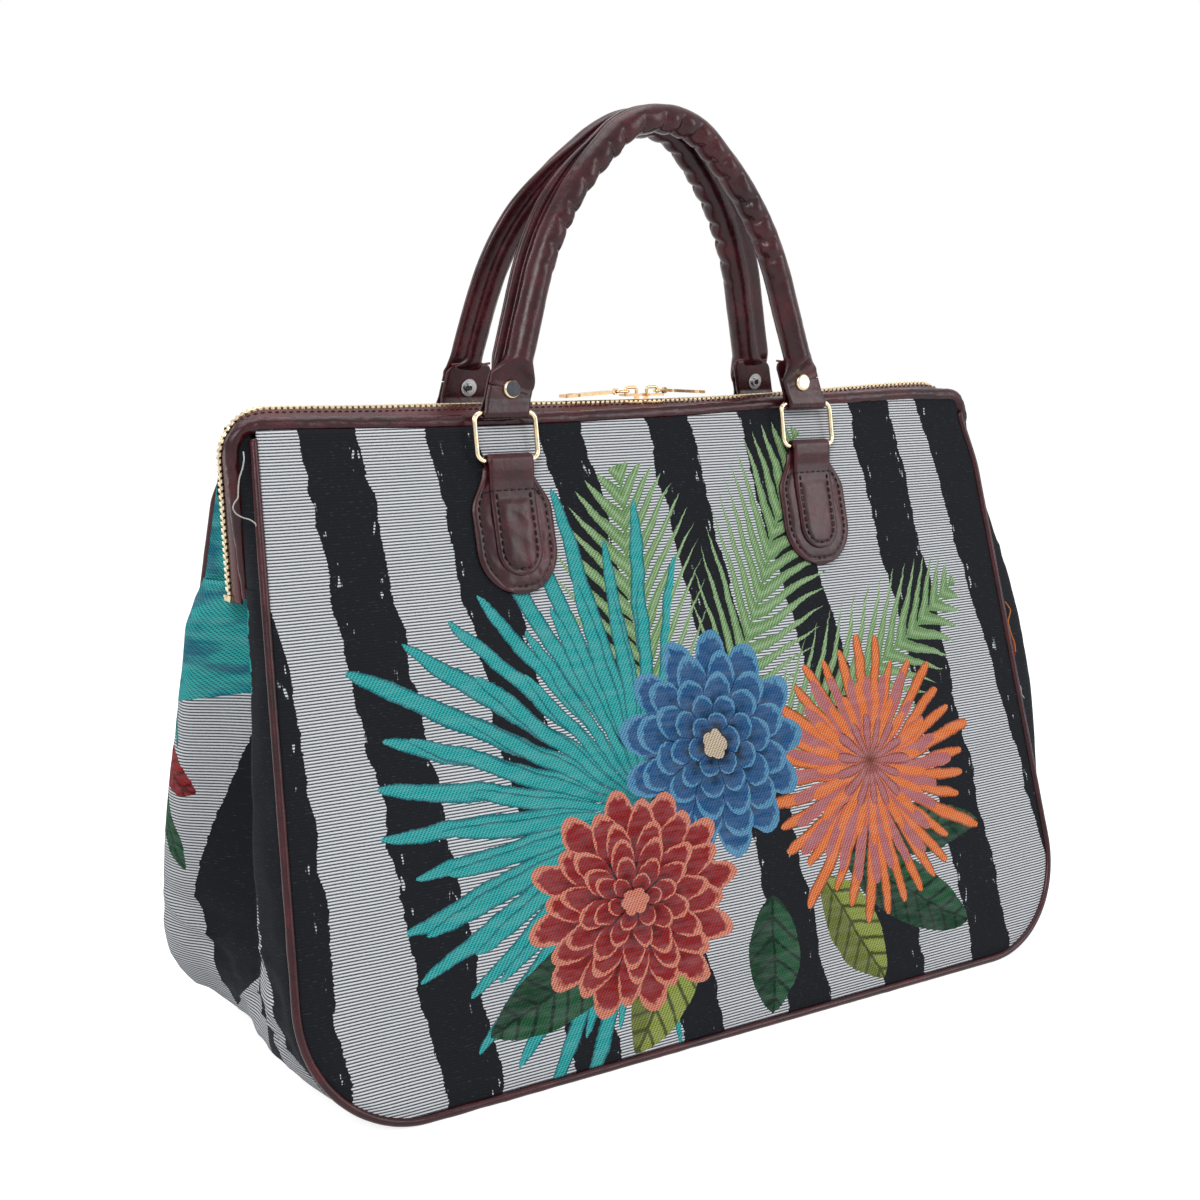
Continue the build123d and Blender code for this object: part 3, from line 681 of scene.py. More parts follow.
def back_cloth():
    """Back panel: stripes alone with a few leaves, as the print runs on round the bag."""
    p = Print("tapestry_back", {"x": -1.0}, {"z": 1 / cos(LEAN), "1": -BASE_Z / cos(LEAN)})
    p.prepare(4.0)
    black = p.stripes([(u + 20, w + 20, h) for u, w, h in STRIPES[:-1]])
    colour = BLACK
    covered = []
    for place, turn, length, width, tint in [
        ((-30, 60), 60, 200, 60, TEAL), ((-20, 60), 96, 190, 56, TEAL), ((-10, 60), 28, 190, 56, DEEP_GREEN),
        ((-40, 60), 136, 180, 54, DEEP_GREEN), ((-36, 56), 165, 150, 44, LIME), ((0, 56), 8, 160, 44, GREEN),
    ]:
        mask, veins = p.leaf(place, turn, length, width, 8.0)
        colour = p.mix(mask, colour, p.mix(veins, tint, tuple(0.4 * c for c in tint)))
        covered.append(mask)
    for radius, petals, turn, tint in [(58, 9, 0, CORAL), (40, 8, 10, ORANGE), (22, 7, 0, RED)]:
        mask, share, wave = p.flower((-20, 74), radius, petals, turn, 0.3, 1.0, 0.6)
        colour = p.mix(mask, colour, p.mix(p.step(share, 0.86, 0.93), tint, SALMON))
        covered.append(mask)
    return cloth_finish(p, colour, black, p.most(*covered))


def side_cloth(name, sign):
    """The gusset: u runs from the front piping to the back piping."""
    p = Print(name, {"y": 1.0}, {"z": 1.0})
    p.prepare(2.0 + sign)
    slope = (BOTTOM_DEPTH - TOP_DEPTH) / 2 / PANEL_RISE
    rag = p.streaks(0.06, 0.3, 3.0, 3.0, 0.7)
    rag = p.times(p.minus(rag, 0.45), 9.0)
    # Two black stripes that taper towards the base
    edge = p.least(
        p.add(73.3, p.times(p.v, -0.37)), p.add(36.0, p.times(p.v, 0.08)), p.add(-60.0, p.times(p.v, 4.5)),
    )
    behind = p.less(p.add(p.u, p.times(rag, 0.35)), edge)
    ahead = p.less(p.add(-44.0, p.times(p.most(p.minus(82.0, p.v), 0.0), 1.38)), p.u_soft)
    small = p.less(p.size(p.add(p.u_soft, 31.0)), p.times(p.step(p.v, 68.0, 52.0), 8.0))
    black = p.most(p.times(behind, ahead), small)
    from_seam = p.add(p.u_soft, p.times(p.v, -slope), BOTTOM_DEPTH / 2 + BASE_Z * slope)
    width = p.add(12.5, p.times(p.step(p.v, 236.0, 94.0), 13.0), p.times(p.step(p.v, 236.0, 244.0), 30.0))
    width = p.add(width, p.times(p.step(p.v, 75.0, 30.0), -9.0), rag)
    front = p.times(p.less(from_seam, width), p.less(18.0, p.v_soft))
    black = p.most(black, front)
    upper = p.less(p.add(192.0, p.times(p.u_art, -0.2)), p.v_soft)
    teal = p.times(upper, p.minus(1.0, front))
    rows = p.streaks(0.05, 0.12, 8.0, 3.0)
    colour = p.mix(p.step(rows, 0.45, 0.62), TEAL, (0.012, 0.17, 0.24))
    covered = [teal]
    for place, turn, length, width, tint in [
        ((46, 187), 262, 28, 6, TEAL),
        ((70, 164), 214, 46, 19, RED),
        ((60, 141), 250, 46, 16, DEEP_GREEN),
    ]:
        mask, veins = p.leaf(place, turn, length, width, 8.0)
        colour = p.mix(mask, colour, p.mix(veins, tint, tuple(0.35 * c for c in tint)))
        covered.append(mask)
    return cloth_finish(p, colour, black, p.most(*covered))


def base_cloth():
    p = Print("tapestry_base", {"x": 1.0}, {"y": 1.0})
    p.prepare(6.0)
    black = p.stripes([(u + 160, u + 160, 16.0) for u in range(-400, 100, 62)], 94.0, -94.0)
    return cloth_finish(p, BLACK, black, 0.0)


# Leatherette, metal and the rest


def leatherette(name, wet=1.0, crackle=1.0, tint=(0.050, 0.0065, 0.0105)):
    """Glossy burgundy with a fine grain, dark creases and reddish scuffs."""
    s = Shader(name)
    dark = tuple(0.35 * c for c in tint)
    light = (0.13, 0.012, 0.017)
    clouds = s.noise(s.place, 45.0, 4.0, 0.6, 0.4)
    colour = s.mix(s.step(clouds, 0.3, 0.7), dark, tint)
    scuff = s.noise(s.place, 120.0, 5.0, 0.75, 1.6)
    colour = s.mix(s.times(s.step(scuff, 0.57, 0.72), 0.6 * crackle), colour, light)
    veins = s.cells(s.place, 330.0, "DISTANCE_TO_EDGE")
    crack = s.times(s.step(veins, 0.07, 0.0), s.step(clouds, 0.46, 0.62))
    colour = s.mix(s.times(crack, 0.55 * crackle), colour, light)
    creases = s.noise(s.place, 110.0, 3.0, 0.6, 0.8)
    fine = s.noise(s.place, 520.0, 2.0, 0.5)
    height = s.add(s.times(fine, 0.12), creases, s.times(crack, -0.15))
    normal = s.bump(height, 0.0005, 0.3)
    smoothest, roughest = 0.25 / wet, 0.42
    roughness = s.add(s.times(s.step(scuff, 0.35, 0.75), roughest - smoothest), smoothest)
    return s.finish(colour, roughness, normal, Specular_IOR_Level=0.3)


def metal(name, tint, roughness=0.2, scratches=0.3):
    s = Shader(name)
    clouds = s.noise(s.place, 300.0, 3.0, 0.6)
    dark = tuple(0.72 * c for c in tint)
    colour = s.mix(s.step(clouds, 0.35, 0.75), tint, dark)
    lines = s.noise(s.place, 2600.0, 2.0)
    rough_map = s.add(s.times(lines, scratches * 0.3), roughness)
    return s.finish(colour, rough_map, s.bump(clouds, 0.0001, 0.3), Metallic=1.0)


def plain_cloth(name, tint, scale=1400.0):
    s = Shader(name)
    clouds = s.noise(s.place, 60.0, 3.0)
    weave = s.noise(s.place, scale, 2.0)
    colour = s.mix(clouds, tuple(0.7 * c for c in tint), tint)
    colour = s.mix(s.times(s.step(weave, 0.4, 0.7), 0.35), colour, tuple(0.45 * c for c in tint))
    return s.finish(colour, 0.85, s.bump(weave, 0.0002, 0.5))


FRONT_CLOTH = front_cloth()
BACK_CLOTH = back_cloth()
LEFT_CLOTH = side_cloth("tapestry_left", 1)
BASE_CLOTH = base_cloth()
ROLL_LEATHER = leatherette("handle_leatherette", 1.25)
TAB_LEATHER = leatherette("tab_leatherette", 1.0, 0.9, (0.056, 0.010, 0.014))
RIM_LEATHER = leatherette("rim_leatherette", 1.1, 1.0)
BAND_LEATHER = leatherette("band_leatherette", 0.8, 0.3, (0.085, 0.009, 0.013))
PIPING_LEATHER = leatherette("piping_leatherette", 1.1, 0.6)
PALE_GOLD = metal("pale_gold", (0.74, 0.60, 0.40), 0.16)
RICH_GOLD = metal("rich_gold", (0.76, 0.50, 0.26), 0.18)
BRASS = metal("zip_brass", (0.66, 0.55, 0.37), 0.27)
# Near-black metal used only for the rivets' painted dark reflection and painted shade
PAINTED_DARK_REFLECTION_AND_SHADE = metal("painted_dark_reflection_and_shade", (0.03, 0.03, 0.035), 0.12)
STEEL = metal("frame_steel", (0.45, 0.45, 0.47), 0.3)
BLACK_THREAD = plain_cloth("black_thread", (0.012, 0.01, 0.012), 3000.0)
MAROON_THREAD = plain_cloth("maroon_thread", (0.05, 0.012, 0.014), 3000.0)
LINING_CLOTH = plain_cloth("lining_cloth", (0.3, 0.26, 0.2))
BOARD = plain_cloth("board", (0.12, 0.1, 0.08), 500.0)
RED_EDGE = plain_cloth("cut_edge", (0.20, 0.06, 0.065), 1500.0)
WHITE_THREAD = plain_cloth("white_thread", (0.6, 0.58, 0.54), 3000.0)
ORANGE_THREAD = plain_cloth("orange_thread", (0.75, 0.2, 0.03), 3000.0)
RED_THREAD = plain_cloth("red_thread", (0.42, 0.02, 0.02), 3000.0)


def place(thing, slot, *nodes):
    """Lets a piece stand for CAD nodes, which it hides; the slot is not used."""
    if nodes:
        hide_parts(*nodes)
    return thing


# Panels


def calm(u, v):
    """0 under the tabs, where a panel lies flat, and 1 away from them."""
    across = np.abs(np.abs(u) - TAB_X) / 34
    up = np.maximum(np.maximum(232 - v, 0), 0) / 26
    return smooth((np.hypot(across, up) - 0.75) / 0.7)


def panel_surface(u, v, seed):
    """How far a panel's face stands out of its middle plane."""
    half = np.array([[outline_half(b, SEAM_INSET) for b in row] for row in v])
    side = np.clip((half - np.abs(u)) / 9, 0, 1)
    foot = np.clip((v - SEAM_INSET) / 9, 0, 1)
    near = side * foot
    tuck = 1 - (1 - near) ** 2
    crown = 3.2 * (1 - (u / 245) ** 2) * np.sin(np.clip(v / 322, 0, 1) * pi) ** 0.8
    wide, fine = [
        np.array([[rough(a / across, b / up, start) for a, b in zip(p, q)] for p, q in zip(u, v)])
        for across, up, start in ((95, 70, seed), (38, 26, seed + 4))
    ]
    waves = wide * 1.7 + fine * 0.35
    hang = 0.8 * np.sin(u / 31 + seed) * smooth((v - 235) / 70)
    loose = smooth((half - np.abs(u)) / 45) * smooth(v / 40) * smooth((321 - v) / 30)
    return 0.35 + 1.05 * tuck + (crown + waves + hang) * loose * calm(u, v)


# Rise and fall of the mouth's tubes and of the zip along the width
RIM_WAVE = [
    (-245, 0), (-203, -0.7), (-175, -1.4), (-126, -2.3), (-63, -2.2), (-27, -1.4), (24, -0.6), (86, 2.2), (144, 4.2),
    (190, 5.4), (232, 4.2), (250, 4.0),
]
ZIP_WAVE = [
    (-245, 0), (-215, 0.5), (-168, -0.4), (-111, -0.6), (-54, -1.0), (20, -1.2), (42, -0.9), (97, 0.6), (141, 2.4),
    (186, 4.6), (225, 4.8), (250, 4.6),
]


def wave_at(x, wave=RIM_WAVE):
    places, rises = zip(*wave)
    x = np.asarray(x, float)
    return np.mean([np.interp(x + shift, places, rises) for shift in np.linspace(-22, 22, 9)], axis=0)


# How far a panel's upper corners are drawn in with the mouth's tubes, at the bag's left and right
CORNER_DRAW = {"front": (0.0, 5.0), "back": (9.0, 5.0)}


def corner_draw(end, u, v):
    """Shift across a panel of its upper corners."""
    turn = -1 if end == "back" else 1
    left, right = CORNER_DRAW[end]
    inwards = left * smooth((-turn * u - 190) / 42) - right * smooth((turn * u - 190) / 42)
    return turn * inwards * smooth((v - 285) / 38)


def panel(end, material):
    back = end == "back"
    rows = np.concatenate([[SEAM_INSET, 2.6, 3.4, 4.8, 7, 10], np.linspace(14, 325.5, 119)])
    s = np.sin(np.linspace(-pi / 2, pi / 2, 161))
    s = 0.55 * s + 0.45 * np.linspace(-1, 1, 161)
    v = np.repeat(rows[:, None], len(s), 1)
    half = np.array([outline_half(b, SEAM_INSET - 0.4) for b in rows])
    u = half[:, None] * s
    out = panel_surface(u, v, 11 if back else 3)
    v = v + wave_at(-u if back else u) * smooth((v - 270) / 50)
    u = u + corner_draw(end, u, v)
    outer = turned(on_panel(u, v, out).reshape(-1, 3), back).reshape(*u.shape, 3)
    inner = turned(on_panel(u, v, out - 1.6).reshape(-1, 3), back).reshape(*u.shape, 3)
    points, faces = shell(outer, inner)
    return place(add_mesh(f"{end}_panel_cloth", points, faces, material), f"{end}_panel", f"{end}_panel")


panel("front", FRONT_CLOTH)
panel("back", BACK_CLOTH)


# Gusset


def pleat_at(z):
    share = 0.0
    rise = (z - PLEAT_FOOT) / (PLEAT_TOP - PLEAT_FOOT)
    if 0 < rise < 1:
        share = sin(pi * rise) ** 0.6
    fall = min(1.0, max(0.0, (SLIT_FOOT - z) / (SLIT_FOOT - BOTTOM_DEPTH / 2)))
    edge = half_depth(z) - SEAM_INSET - STRIP_TOP - (STRIP_FOOT - STRIP_TOP) * fall
    return PLEAT_DEPTH * share, edge, PLEAT_BULGE * share


def softened(points, width, count):
    """Even points of a polyline whose corners are rounded over a width."""
    fine = resample(points, 0.5)
    reach = int(3 * width)
    kernel = np.exp(-(np.arange(-reach, reach + 1) / width) ** 2)
    kernel /= kernel.sum()
    first = 2 * fine[0] - fine[reach:0:-1]
    last = 2 * fine[-1] - fine[-2 : -reach - 2 : -1]
    padded = np.vstack([first, fine, last])
    smoothed = np.stack([np.convolve(padded[:, k], kernel, "valid") for k in range(2)], 1)
    run = np.concatenate([[0], np.cumsum(np.linalg.norm(np.diff(smoothed, axis=0), axis=1))])
    at = np.linspace(0, run[-1], count)
    return np.stack([np.interp(at, run, smoothed[:, k]) for k in range(2)], 1)


GUSSET_COLUMNS = 73


def gusset_line(z, level=1.3):
    depth, edge, bulge = pleat_at(z)
    end = half_depth(z) - SEAM_INSET
    corners = [(level, -end), (level + bulge, -edge), (level - depth, 0), (level + bulge, edge), (level, end)]
    return softened(corners, 7.0, GUSSET_COLUMNS)


def gusset_stations():
    """Points of the left half of the piping line, from the slit's foot down to the middle of the base."""
    stations = [(-half_width(z), z, -cos(SIDE_TILT), sin(SIDE_TILT)) for z in np.linspace(SLIT_FOOT + 9, 66, 56)]
    for i in range(22):
        turn = pi / 2 + (pi / 2 + SIDE_TILT) * (21 - i) / 21
        out_x, out_z = cos(turn), -sin(turn)
        z = BASE_Z + CORNER_RADIUS * (1 + out_z) * cos(LEAN)
        stations.append((-CORNER_X + CORNER_RADIUS * out_x, z, out_x, out_z))
    stations += [(x, BASE_Z, 0.0, -1.0) for x in np.linspace(-CORNER_X, 0, 40)[1:]]
    return stations


LEFT_BULGE = 7
RIGHT_BULGE = 20


def right_bulge(z, from_seam):
    """How far the right side swells beside its front seam."""
    if not 55 < z < 300:
        return 0.0 * from_seam
    return RIGHT_BULGE * sin(pi * (z - 55) / 245) ** 0.9 * smooth(from_seam / 8) * smooth((46 - from_seam) / 30)


def gusset_side(side):
    """Rows of points of half the gusset, with soft creases, and the direction out of each."""
    rows, outs = [], []
    run = 0.0
    before = None
    for x, z, out_x, out_z in gusset_stations():
        line = gusset_line(z)
        if before is not None:
            run += hypot(x - before[0], z - before[1])
        before = (x, z)
        t = np.linspace(-1, 1, GUSSET_COLUMNS)
        edge = smooth((1 - np.abs(t)) / 0.16)
        low = exp(-(((z - 48) / 42) ** 2)) if x < -CORNER_X else exp(-(((x + CORNER_X) / 40) ** 2)) * 0.9
        dents = np.array([rough(run / 46, y / 40, 9 * side) for _, y in line]) * 1.5
        creases = np.array([rough(run / 17 + y / 60, y / 75 - run / 90, 5 + side, 2) for _, y in line])
        creases = -np.abs(creases) * (2.0 + 3.4 * low)
        off = (dents + creases * (0.3 + 0.7 * low) + 0.9) * edge
        if z < 4:
            off = np.minimum(off, 0.6) * 0.4
        s = line[:, 0] + off - 0.5 * (1 - smooth((1 - np.abs(t)) / 0.05))
        if side > 0:
            s += right_bulge(z, line[:, 1] - line[0, 1]) * float(smooth((SLIT_FOOT + 11 - z) / 14))
        if side < 0 and z < 250:
            from_seam = line[-1, 1] - line[:, 1]
            height_share = smooth((250 - z) / 30) * smooth((z - 12) / 30)
            s += LEFT_BULGE * height_share * smooth(from_seam / 5) * smooth((36 - from_seam) / 26)
        rows.append(np.stack([x + out_x * s, line[:, 1], z + out_z * s], 1))
        outs.append((out_x, 0.0, out_z))
    rows = np.array(rows)
    outs = np.repeat(np.array(outs)[:, None, :], GUSSET_COLUMNS, 1)
    if side > 0:
        rows, outs = rows * V(-1, 1, 1), outs * V(-1, 1, 1)
    return rows, outs


def gusset():
    left, left_out = gusset_side(-1)
    right, right_out = gusset_side(1)
    rows = np.vstack([left, right[-2::-1]])
    outs = np.vstack([left_out, right_out[-2::-1]])
    along = np.gradient(rows, axis=0)
    across = np.gradient(rows, axis=1)
    normal = unit(np.cross(along, across))
    flip = np.sign(np.sum(normal * outs, axis=2, keepdims=True).mean())
    inner = rows - normal * flip * 1.5
    outer = rows if flip > 0 else rows[:, ::-1]
    inner = inner if flip > 0 else inner[:, ::-1]
    thing = add_mesh("gusset_cloth", *shell(outer, inner), LEFT_CLOTH)
    thing.data.materials.append(BASE_CLOTH)
    for polygon in thing.data.polygons:
        if polygon.center.z < 0.006 and abs(polygon.center.x) < CORNER_X * MM:
            polygon.material_index = 1
    return place(thing, "gusset", "gusset")


gusset()


# How far the mouth's lines are drawn in at its left and right ends
DRAWN_IN = {"front": (1.4, 10.0), "back": (10.0, 10.0), "zip": (0.3, 10.0)}


def mouth_line(height, corner_x, leg_x, foot, radius, low, drawn, step=1.6):
    """x, z of a line over the mouth, its legs run on to a lower end."""
    drop = (height - low) / (height - foot)
    leg = corner_x - (corner_x - leg_x) * drop
    line = rounded_path([(-leg, low), (-corner_x, height), (corner_x, height), (leg, low)], [radius] * 2, step)
    high = smooth((line[:, 1] - (height - radius)) / radius)
    line[:, 1] += wave_at(line[:, 0], ZIP_WAVE if drawn == "zip" else RIM_WAVE) * high
    left, right = DRAWN_IN[drawn]
    x = line[:, 0]
    line[:, 0] = x + left * smooth((-x - 180) / 50) - right * smooth((x - 180) / 50)
    return line


RIM_LINES = {
    end: mouth_line(RIM_HEIGHT, RIM_CORNER_X, RIM_LEG_X, RIM_FOOT, radius, RIM_FOOT - 2, end)
    for end, radius in (("front", RIM_CORNER_RADIUS), ("back", BACK_RIM_CORNER_RADIUS))
}
ZIP_LINE = mouth_line(ZIP_HEIGHT, ZIP_CORNER_X, ZIP_LEG_X, ZIP_FOOT, ZIP_CORNER_RADIUS, ZIP_FOOT - ZIP_TAIL, "zip")


def leg_x(end, sx, z):
    """Distance of a rim's leg from the middle at a height."""
    side = RIM_LINES[end][RIM_LINES[end][:, 0] * sx > 215]
    side = side[np.argsort(side[:, 1])]
    return np.interp(z, side[:, 1], side[:, 0] * sx)


def ears():
    """The strips beside the zip's legs, from the piping to the mouth's tubes."""
    pile = Pile()
    for sx in (-1, 1):
        for end, sy in (("front", -1), ("back", 1)):
            outer = []
            for z in np.linspace(SLIT_FOOT - 3, 318, 46):
                start = V(1.0, half_depth(z) - SEAM_INSET)
                leg = V(leg_x(end, sx, z) - half_width(z), MOUTH_Y)
                finish = leg + unit(start - leg) * 2.2
                t = np.linspace(0, 1, 15)
                line = start + (finish - start) * t[:, None]
                swell = (1.3 + 0.5 * rough(z / 21, sx * 3, sy)) * np.sin(pi * t)
                if sx > 0 > sy:
                    swell = swell + 1.25 * right_bulge(z, start[1] - line[:, 1]) * smooth((1 - t) / 0.3)
                x = sx * (half_width(z) + line[:, 0] + swell)
                outer.append(np.stack([x, sy * line[:, 1], np.full(len(x), z)], 1))
            outer = np.array(outer)
            inner = outer - V(sx, 0, 0) * 1.5
            if sx * sy > 0:
                outer, inner = outer[:, ::-1], inner[:, ::-1]
            pile.add(*shell(outer, inner))
    thing = pile.build("gusset_ears", LEFT_CLOTH)
    return place(thing, "gusset")


ears()


# Piping


def piping(end):
    top = PANEL_TOP - 2.5
    corners = [(-outline_half(top), top), (-BOTTOM_WIDTH / 2, 0), (BOTTOM_WIDTH / 2, 0), (outline_half(top), top)]
    line = rounded_path(corners, [CORNER_RADIUS] * 2, 2.0)
    line[:, 0] += corner_draw(end, line[:, 0], line[:, 1])
    path = turned(on_panel(line[:, 0], line[:, 1]), end == "back")
    up = turned(PANEL_OUT[None], end == "back")[0]
    runs = [rough(i * 2.0 / 14, 1.0, 2.0 if end == "back" else 5.0) for i in range(len(path))]

    def ripple(i, angles):
        return 0.16 * runs[i] + 0.12 * np.sin(3 * angles + i * 0.5) * abs(runs[i])

    points, faces = tube(path, 2.05, up, 14, ripple)
    return place(add_mesh(f"{end}_piping_skin", points, faces, PIPING_LEATHER), f"{end}_piping", f"{end}_piping")


piping("front")
piping("back")


# Mouth: the tubes, the bands from them to the teeth, and the stitching


def rim(end):
    back = end == "back"
    line = RIM_LINES[end]
    path = np.stack([line[:, 0], np.full(len(line), MOUTH_Y if back else -MOUTH_Y), line[:, 1]], 1)
    seed = 20.0 if back else 40.0
    runs = np.arange(len(path)) * 1.6
    bends = np.exp(-((np.abs(path[:, 0]) - 236) / 14) ** 2) * smooth((path[:, 2] - 285) / 15)
    top, leg, foot = RIM_SKIN
    radius = foot + (leg - foot) * smooth((path[:, 2] - RIM_FOOT) / 40)
    radius += (top - leg) * smooth((path[:, 2] - 300) / 16)

    def creases(i, angles):
        s = runs[i]
        ring = np.array([rough(s / 9, 2 * cos(a), seed + 2 * sin(a), 3) for a in angles])
        fine = np.array([rough(s / 3.2 + a, 3 * cos(a), seed + 3 * sin(a), 2) for a in angles])
        slant = np.abs(np.sin(s / 2.6 + angles)) ** 3
        rise = 0.35 * ring + (0.14 + 0.6 * bends[i]) * fine
        return rise - 0.5 * bends[i] * np.abs(ring) - 0.12 * slant * np.abs(ring)

    points, faces = tube(path, radius, (0, -1 if not back else 1, 0.001), 22, creases)
    thing = add_mesh(f"{end}_rim_skin", points, faces, RIM_LEATHER)
    return place(thing, f"{end}_rim_cover", f"{end}_rim_cover", f"{end}_frame_wire")


rim("front")
rim("back")


def zip_inward():
    """Direction square to the zip's line, towards the inside of the bag, as x and z."""
    along = unit(np.gradient(ZIP_LINE, axis=0))
    return np.stack([along[:, 1], -along[:, 0]], 1)


TOOTH_PITCH = 3.1
TOOTH_REACH = 2.4


def block(centre, along, across, up, length, width, height, round_off=0.3):
    """A box whose top edges are cut back."""
    points = []
    for lift, inset in ((-0.5, 0), (0.5 - round_off / height, 0), (0.5, round_off)):
        for a, b in ((-1, -1), (1, -1), (1, 1), (-1, 1)):
            flat = along * a * (length / 2 - inset) + across * b * (width / 2 - inset)
            points.append(centre + flat + up * lift * height)
    faces = [(3, 2, 1, 0), (8, 9, 10, 11)]
    faces += [(i, (i + 1) % 4, (i + 1) % 4 + 4, i + 4) for i in range(4)]
    faces += [(i + 4, (i + 1) % 4 + 4, (i + 1) % 4 + 8, i + 8) for i in range(4)]
    return points, faces


def zip_frame(run):
    """Place on the zip's line with the directions along it and out of it."""
    runs = np.concatenate([[0], np.cumsum(np.linalg.norm(np.diff(ZIP_LINE, axis=0), axis=1))])
    run = min(max(run, 0), runs[-1])
    (x, z), after, before = (
        np.array([np.interp(run + step, runs, ZIP_LINE[:, k]) for k in (0, 1)]) for step in (0, 1, -1)
    )
    ahead = unit(after - before)
    return V(x, 0, z), V(ahead[0], 0, ahead[1]), V(-ahead[1], 0, ahead[0])


def zip_teeth(end):
    """One row of slanted teeth, each between two of the other row."""
    sy = 1 if end == "back" else -1
    pile = Pile()
    count = int((path_length(ZIP_LINE) - 8) / TOOTH_PITCH)
    for i in range(count):
        centre, along, out = zip_frame(4 + (i + (0.5 if sy > 0 else 0)) * TOOTH_PITCH)
        across = unit(V(0, sy, 0) + along * 0.35)
        middle = centre + V(0, sy, 0) * (TOOTH_REACH - 0.7) / 2 + out * 0.1
        pile.add(*block(middle, along, across, out, 1.8, TOOTH_REACH + 0.7, 1.4, 0.35))
    thing = pile.build(f"{end}_zip_chain", BRASS, sharp=True)
    return place(thing, f"{end}_zip_teeth", f"{end}_zip_teeth")


def end_stops():
    """Metal blocks across the chain at both feet of the zip."""
    pile = Pile()
    total = path_length(ZIP_LINE)
    for run in (1.6, total - 1.6):
        centre, along, out = zip_frame(run)
        for shift in (-1.7, 1.7):
            tilt = unit(along + V(0, 0.25 * shift, 0))
            pile.add(*block(centre + V(0, shift, 0) + out * 0.4, tilt, V(0, 1, 0), out, 3.4, 3.1, 2.4, 0.6))
    return place(pile.build("zip_stops", BRASS, sharp=True), "zip_end_stops", "zip_end_stops")


zip_teeth("front")
zip_teeth("back")
end_stops()


def slider_gap(x):
    """How far the bands give way to the sliders."""
    return 0.9 * smooth((17 - np.abs(x - 1.6)) / 4)


def zip_band(end):
    """Leatherette from the tube up to the teeth, with its thickness; gives back the line for its row of stitches."""
    sy = 1 if end == "back" else -1
    inward = zip_inward()
    rim_line = RIM_LINES[end]
    outer, inner, seam = [], [], []
    for p, n in zip(ZIP_LINE, inward):
        near = rim_line[np.argmin(np.sum((rim_line - p) ** 2, axis=1))]
        fall = float((near - p) @ n)
        start = V(TOOTH_REACH - 0.3 + (slider_gap(p[0]) if p[1] > ZIP_HEIGHT - 9 else 0), 0.45)
        centre = V(MOUTH_Y, fall)
        aim = unit(start - centre)
        aim = unit(V(aim[0] * cos(0.45) - aim[1] * sin(0.45), aim[0] * sin(0.45) + aim[1] * cos(0.45)))
        if aim[1] > 0:
            aim = unit(V(aim[0], -abs(aim[1])))
        finish = centre + aim * (RIM_SKIN[1] - 0.4)
        t = np.linspace(0, 1, 9)[:, None]
        line = start + (finish - start) * t
        square = unit(V(-(finish - start)[1], (finish - start)[0]))
        if square[1] > 0:
            square = -square
        line = line + square * (0.5 * np.sin(pi * t) + 0.1 * rough(p[0] / 12, p[1] / 12, sy))
        under = line - square * 1.1
        for store, rows in ((outer, line), (inner, under)):
            store.append([(p[0] + n[0] * w, sy * y, p[1] + n[1] * w) for y, w in rows])
        mark = line[3] + square * 0.25
        seam.append((p[0] + n[0] * mark[1], sy * mark[0], p[1] + n[1] * mark[1]))
    outer, inner = np.array(outer), np.array(inner)
    if sy > 0:
        outer, inner = outer[:, ::-1], inner[:, ::-1]
    points, faces = shell(outer, inner)
    thing = add_mesh(f"{end}_zip_band", points, faces, BAND_LEATHER)
    place(thing, f"{end}_zip_tape", f"{end}_zip_tape")
    return np.array(seam)


def stitches(name, lines, material, body, slot, length=2.4, pitch=3.5, radius=0.4, sink=0.1):
    """Short threads along lines, each given as points and their outward direction."""
    pile = Pile()
    for line, out in lines:
        line = np.asarray(line, float)
        run = np.concatenate([[0], np.cumsum(np.linalg.norm(np.diff(line, axis=0), axis=1))])
        count = int(run[-1] / pitch)
        for i in range(count):
            middle = (i + 0.5) * run[-1] / count
            at = np.linspace(middle - length / 2, middle + length / 2, 5)
            path = np.stack([np.interp(at, run, line[:, k]) for k in range(3)], 1)
            hump = np.array([-0.9, 0.25, 0.5, 0.25, -0.9]) * radius - sink
            path = path + np.asarray(out) * hump[:, None]
            pile.add(*tube(path, np.array([0.75, 1, 1, 1, 0.75]) * radius, out, 6))
    return place(pile.build(name, material, body), slot)


for end in ("front", "back"):
    seam = zip_band(end)
    high = seam[:, 2] > ZIP_HEIGHT - 8
    lines = [(seam[high], V(0, 0, 1))]
    stitches(f"{end}_band_stitches", lines, MAROON_THREAD, "bag", f"{end}_zip_tape", 2.2, 3.6, 0.28)


# Tabs

TAB_FOOT = 238.0
TAB_CENTRE = 261.26
TAB_BELLY = 262.0
TAB_SHOULDER = 283.0
TAB_NECK = 302.0
TAB_HALF = 23.25
TONGUE_FOOT = 247.0
TONGUE_TOP = 290.0
PATCH_OUT = 1.7
LEATHER = 1.8
RING_HOLE = 1.65


def on_front(u, v, out, back=False):
    return turned(on_panel(u, v, out), back)


def patch_half(v, inset=0.0):
    """Half width of a tab's egg-shaped patch at a height."""
    neck = STRAP_WIDTH / 2 + LEATHER - 0.6
    if v < TAB_BELLY - 0.7:
        radius = TAB_HALF - inset
        return sqrt(max(radius**2 - (v - TAB_CENTRE) ** 2, 0.0))
    share = float(smooth((v - TAB_SHOULDER + 3) / (TAB_NECK - TAB_SHOULDER + 3)))
    return TAB_HALF - inset - (TAB_HALF - neck) * share


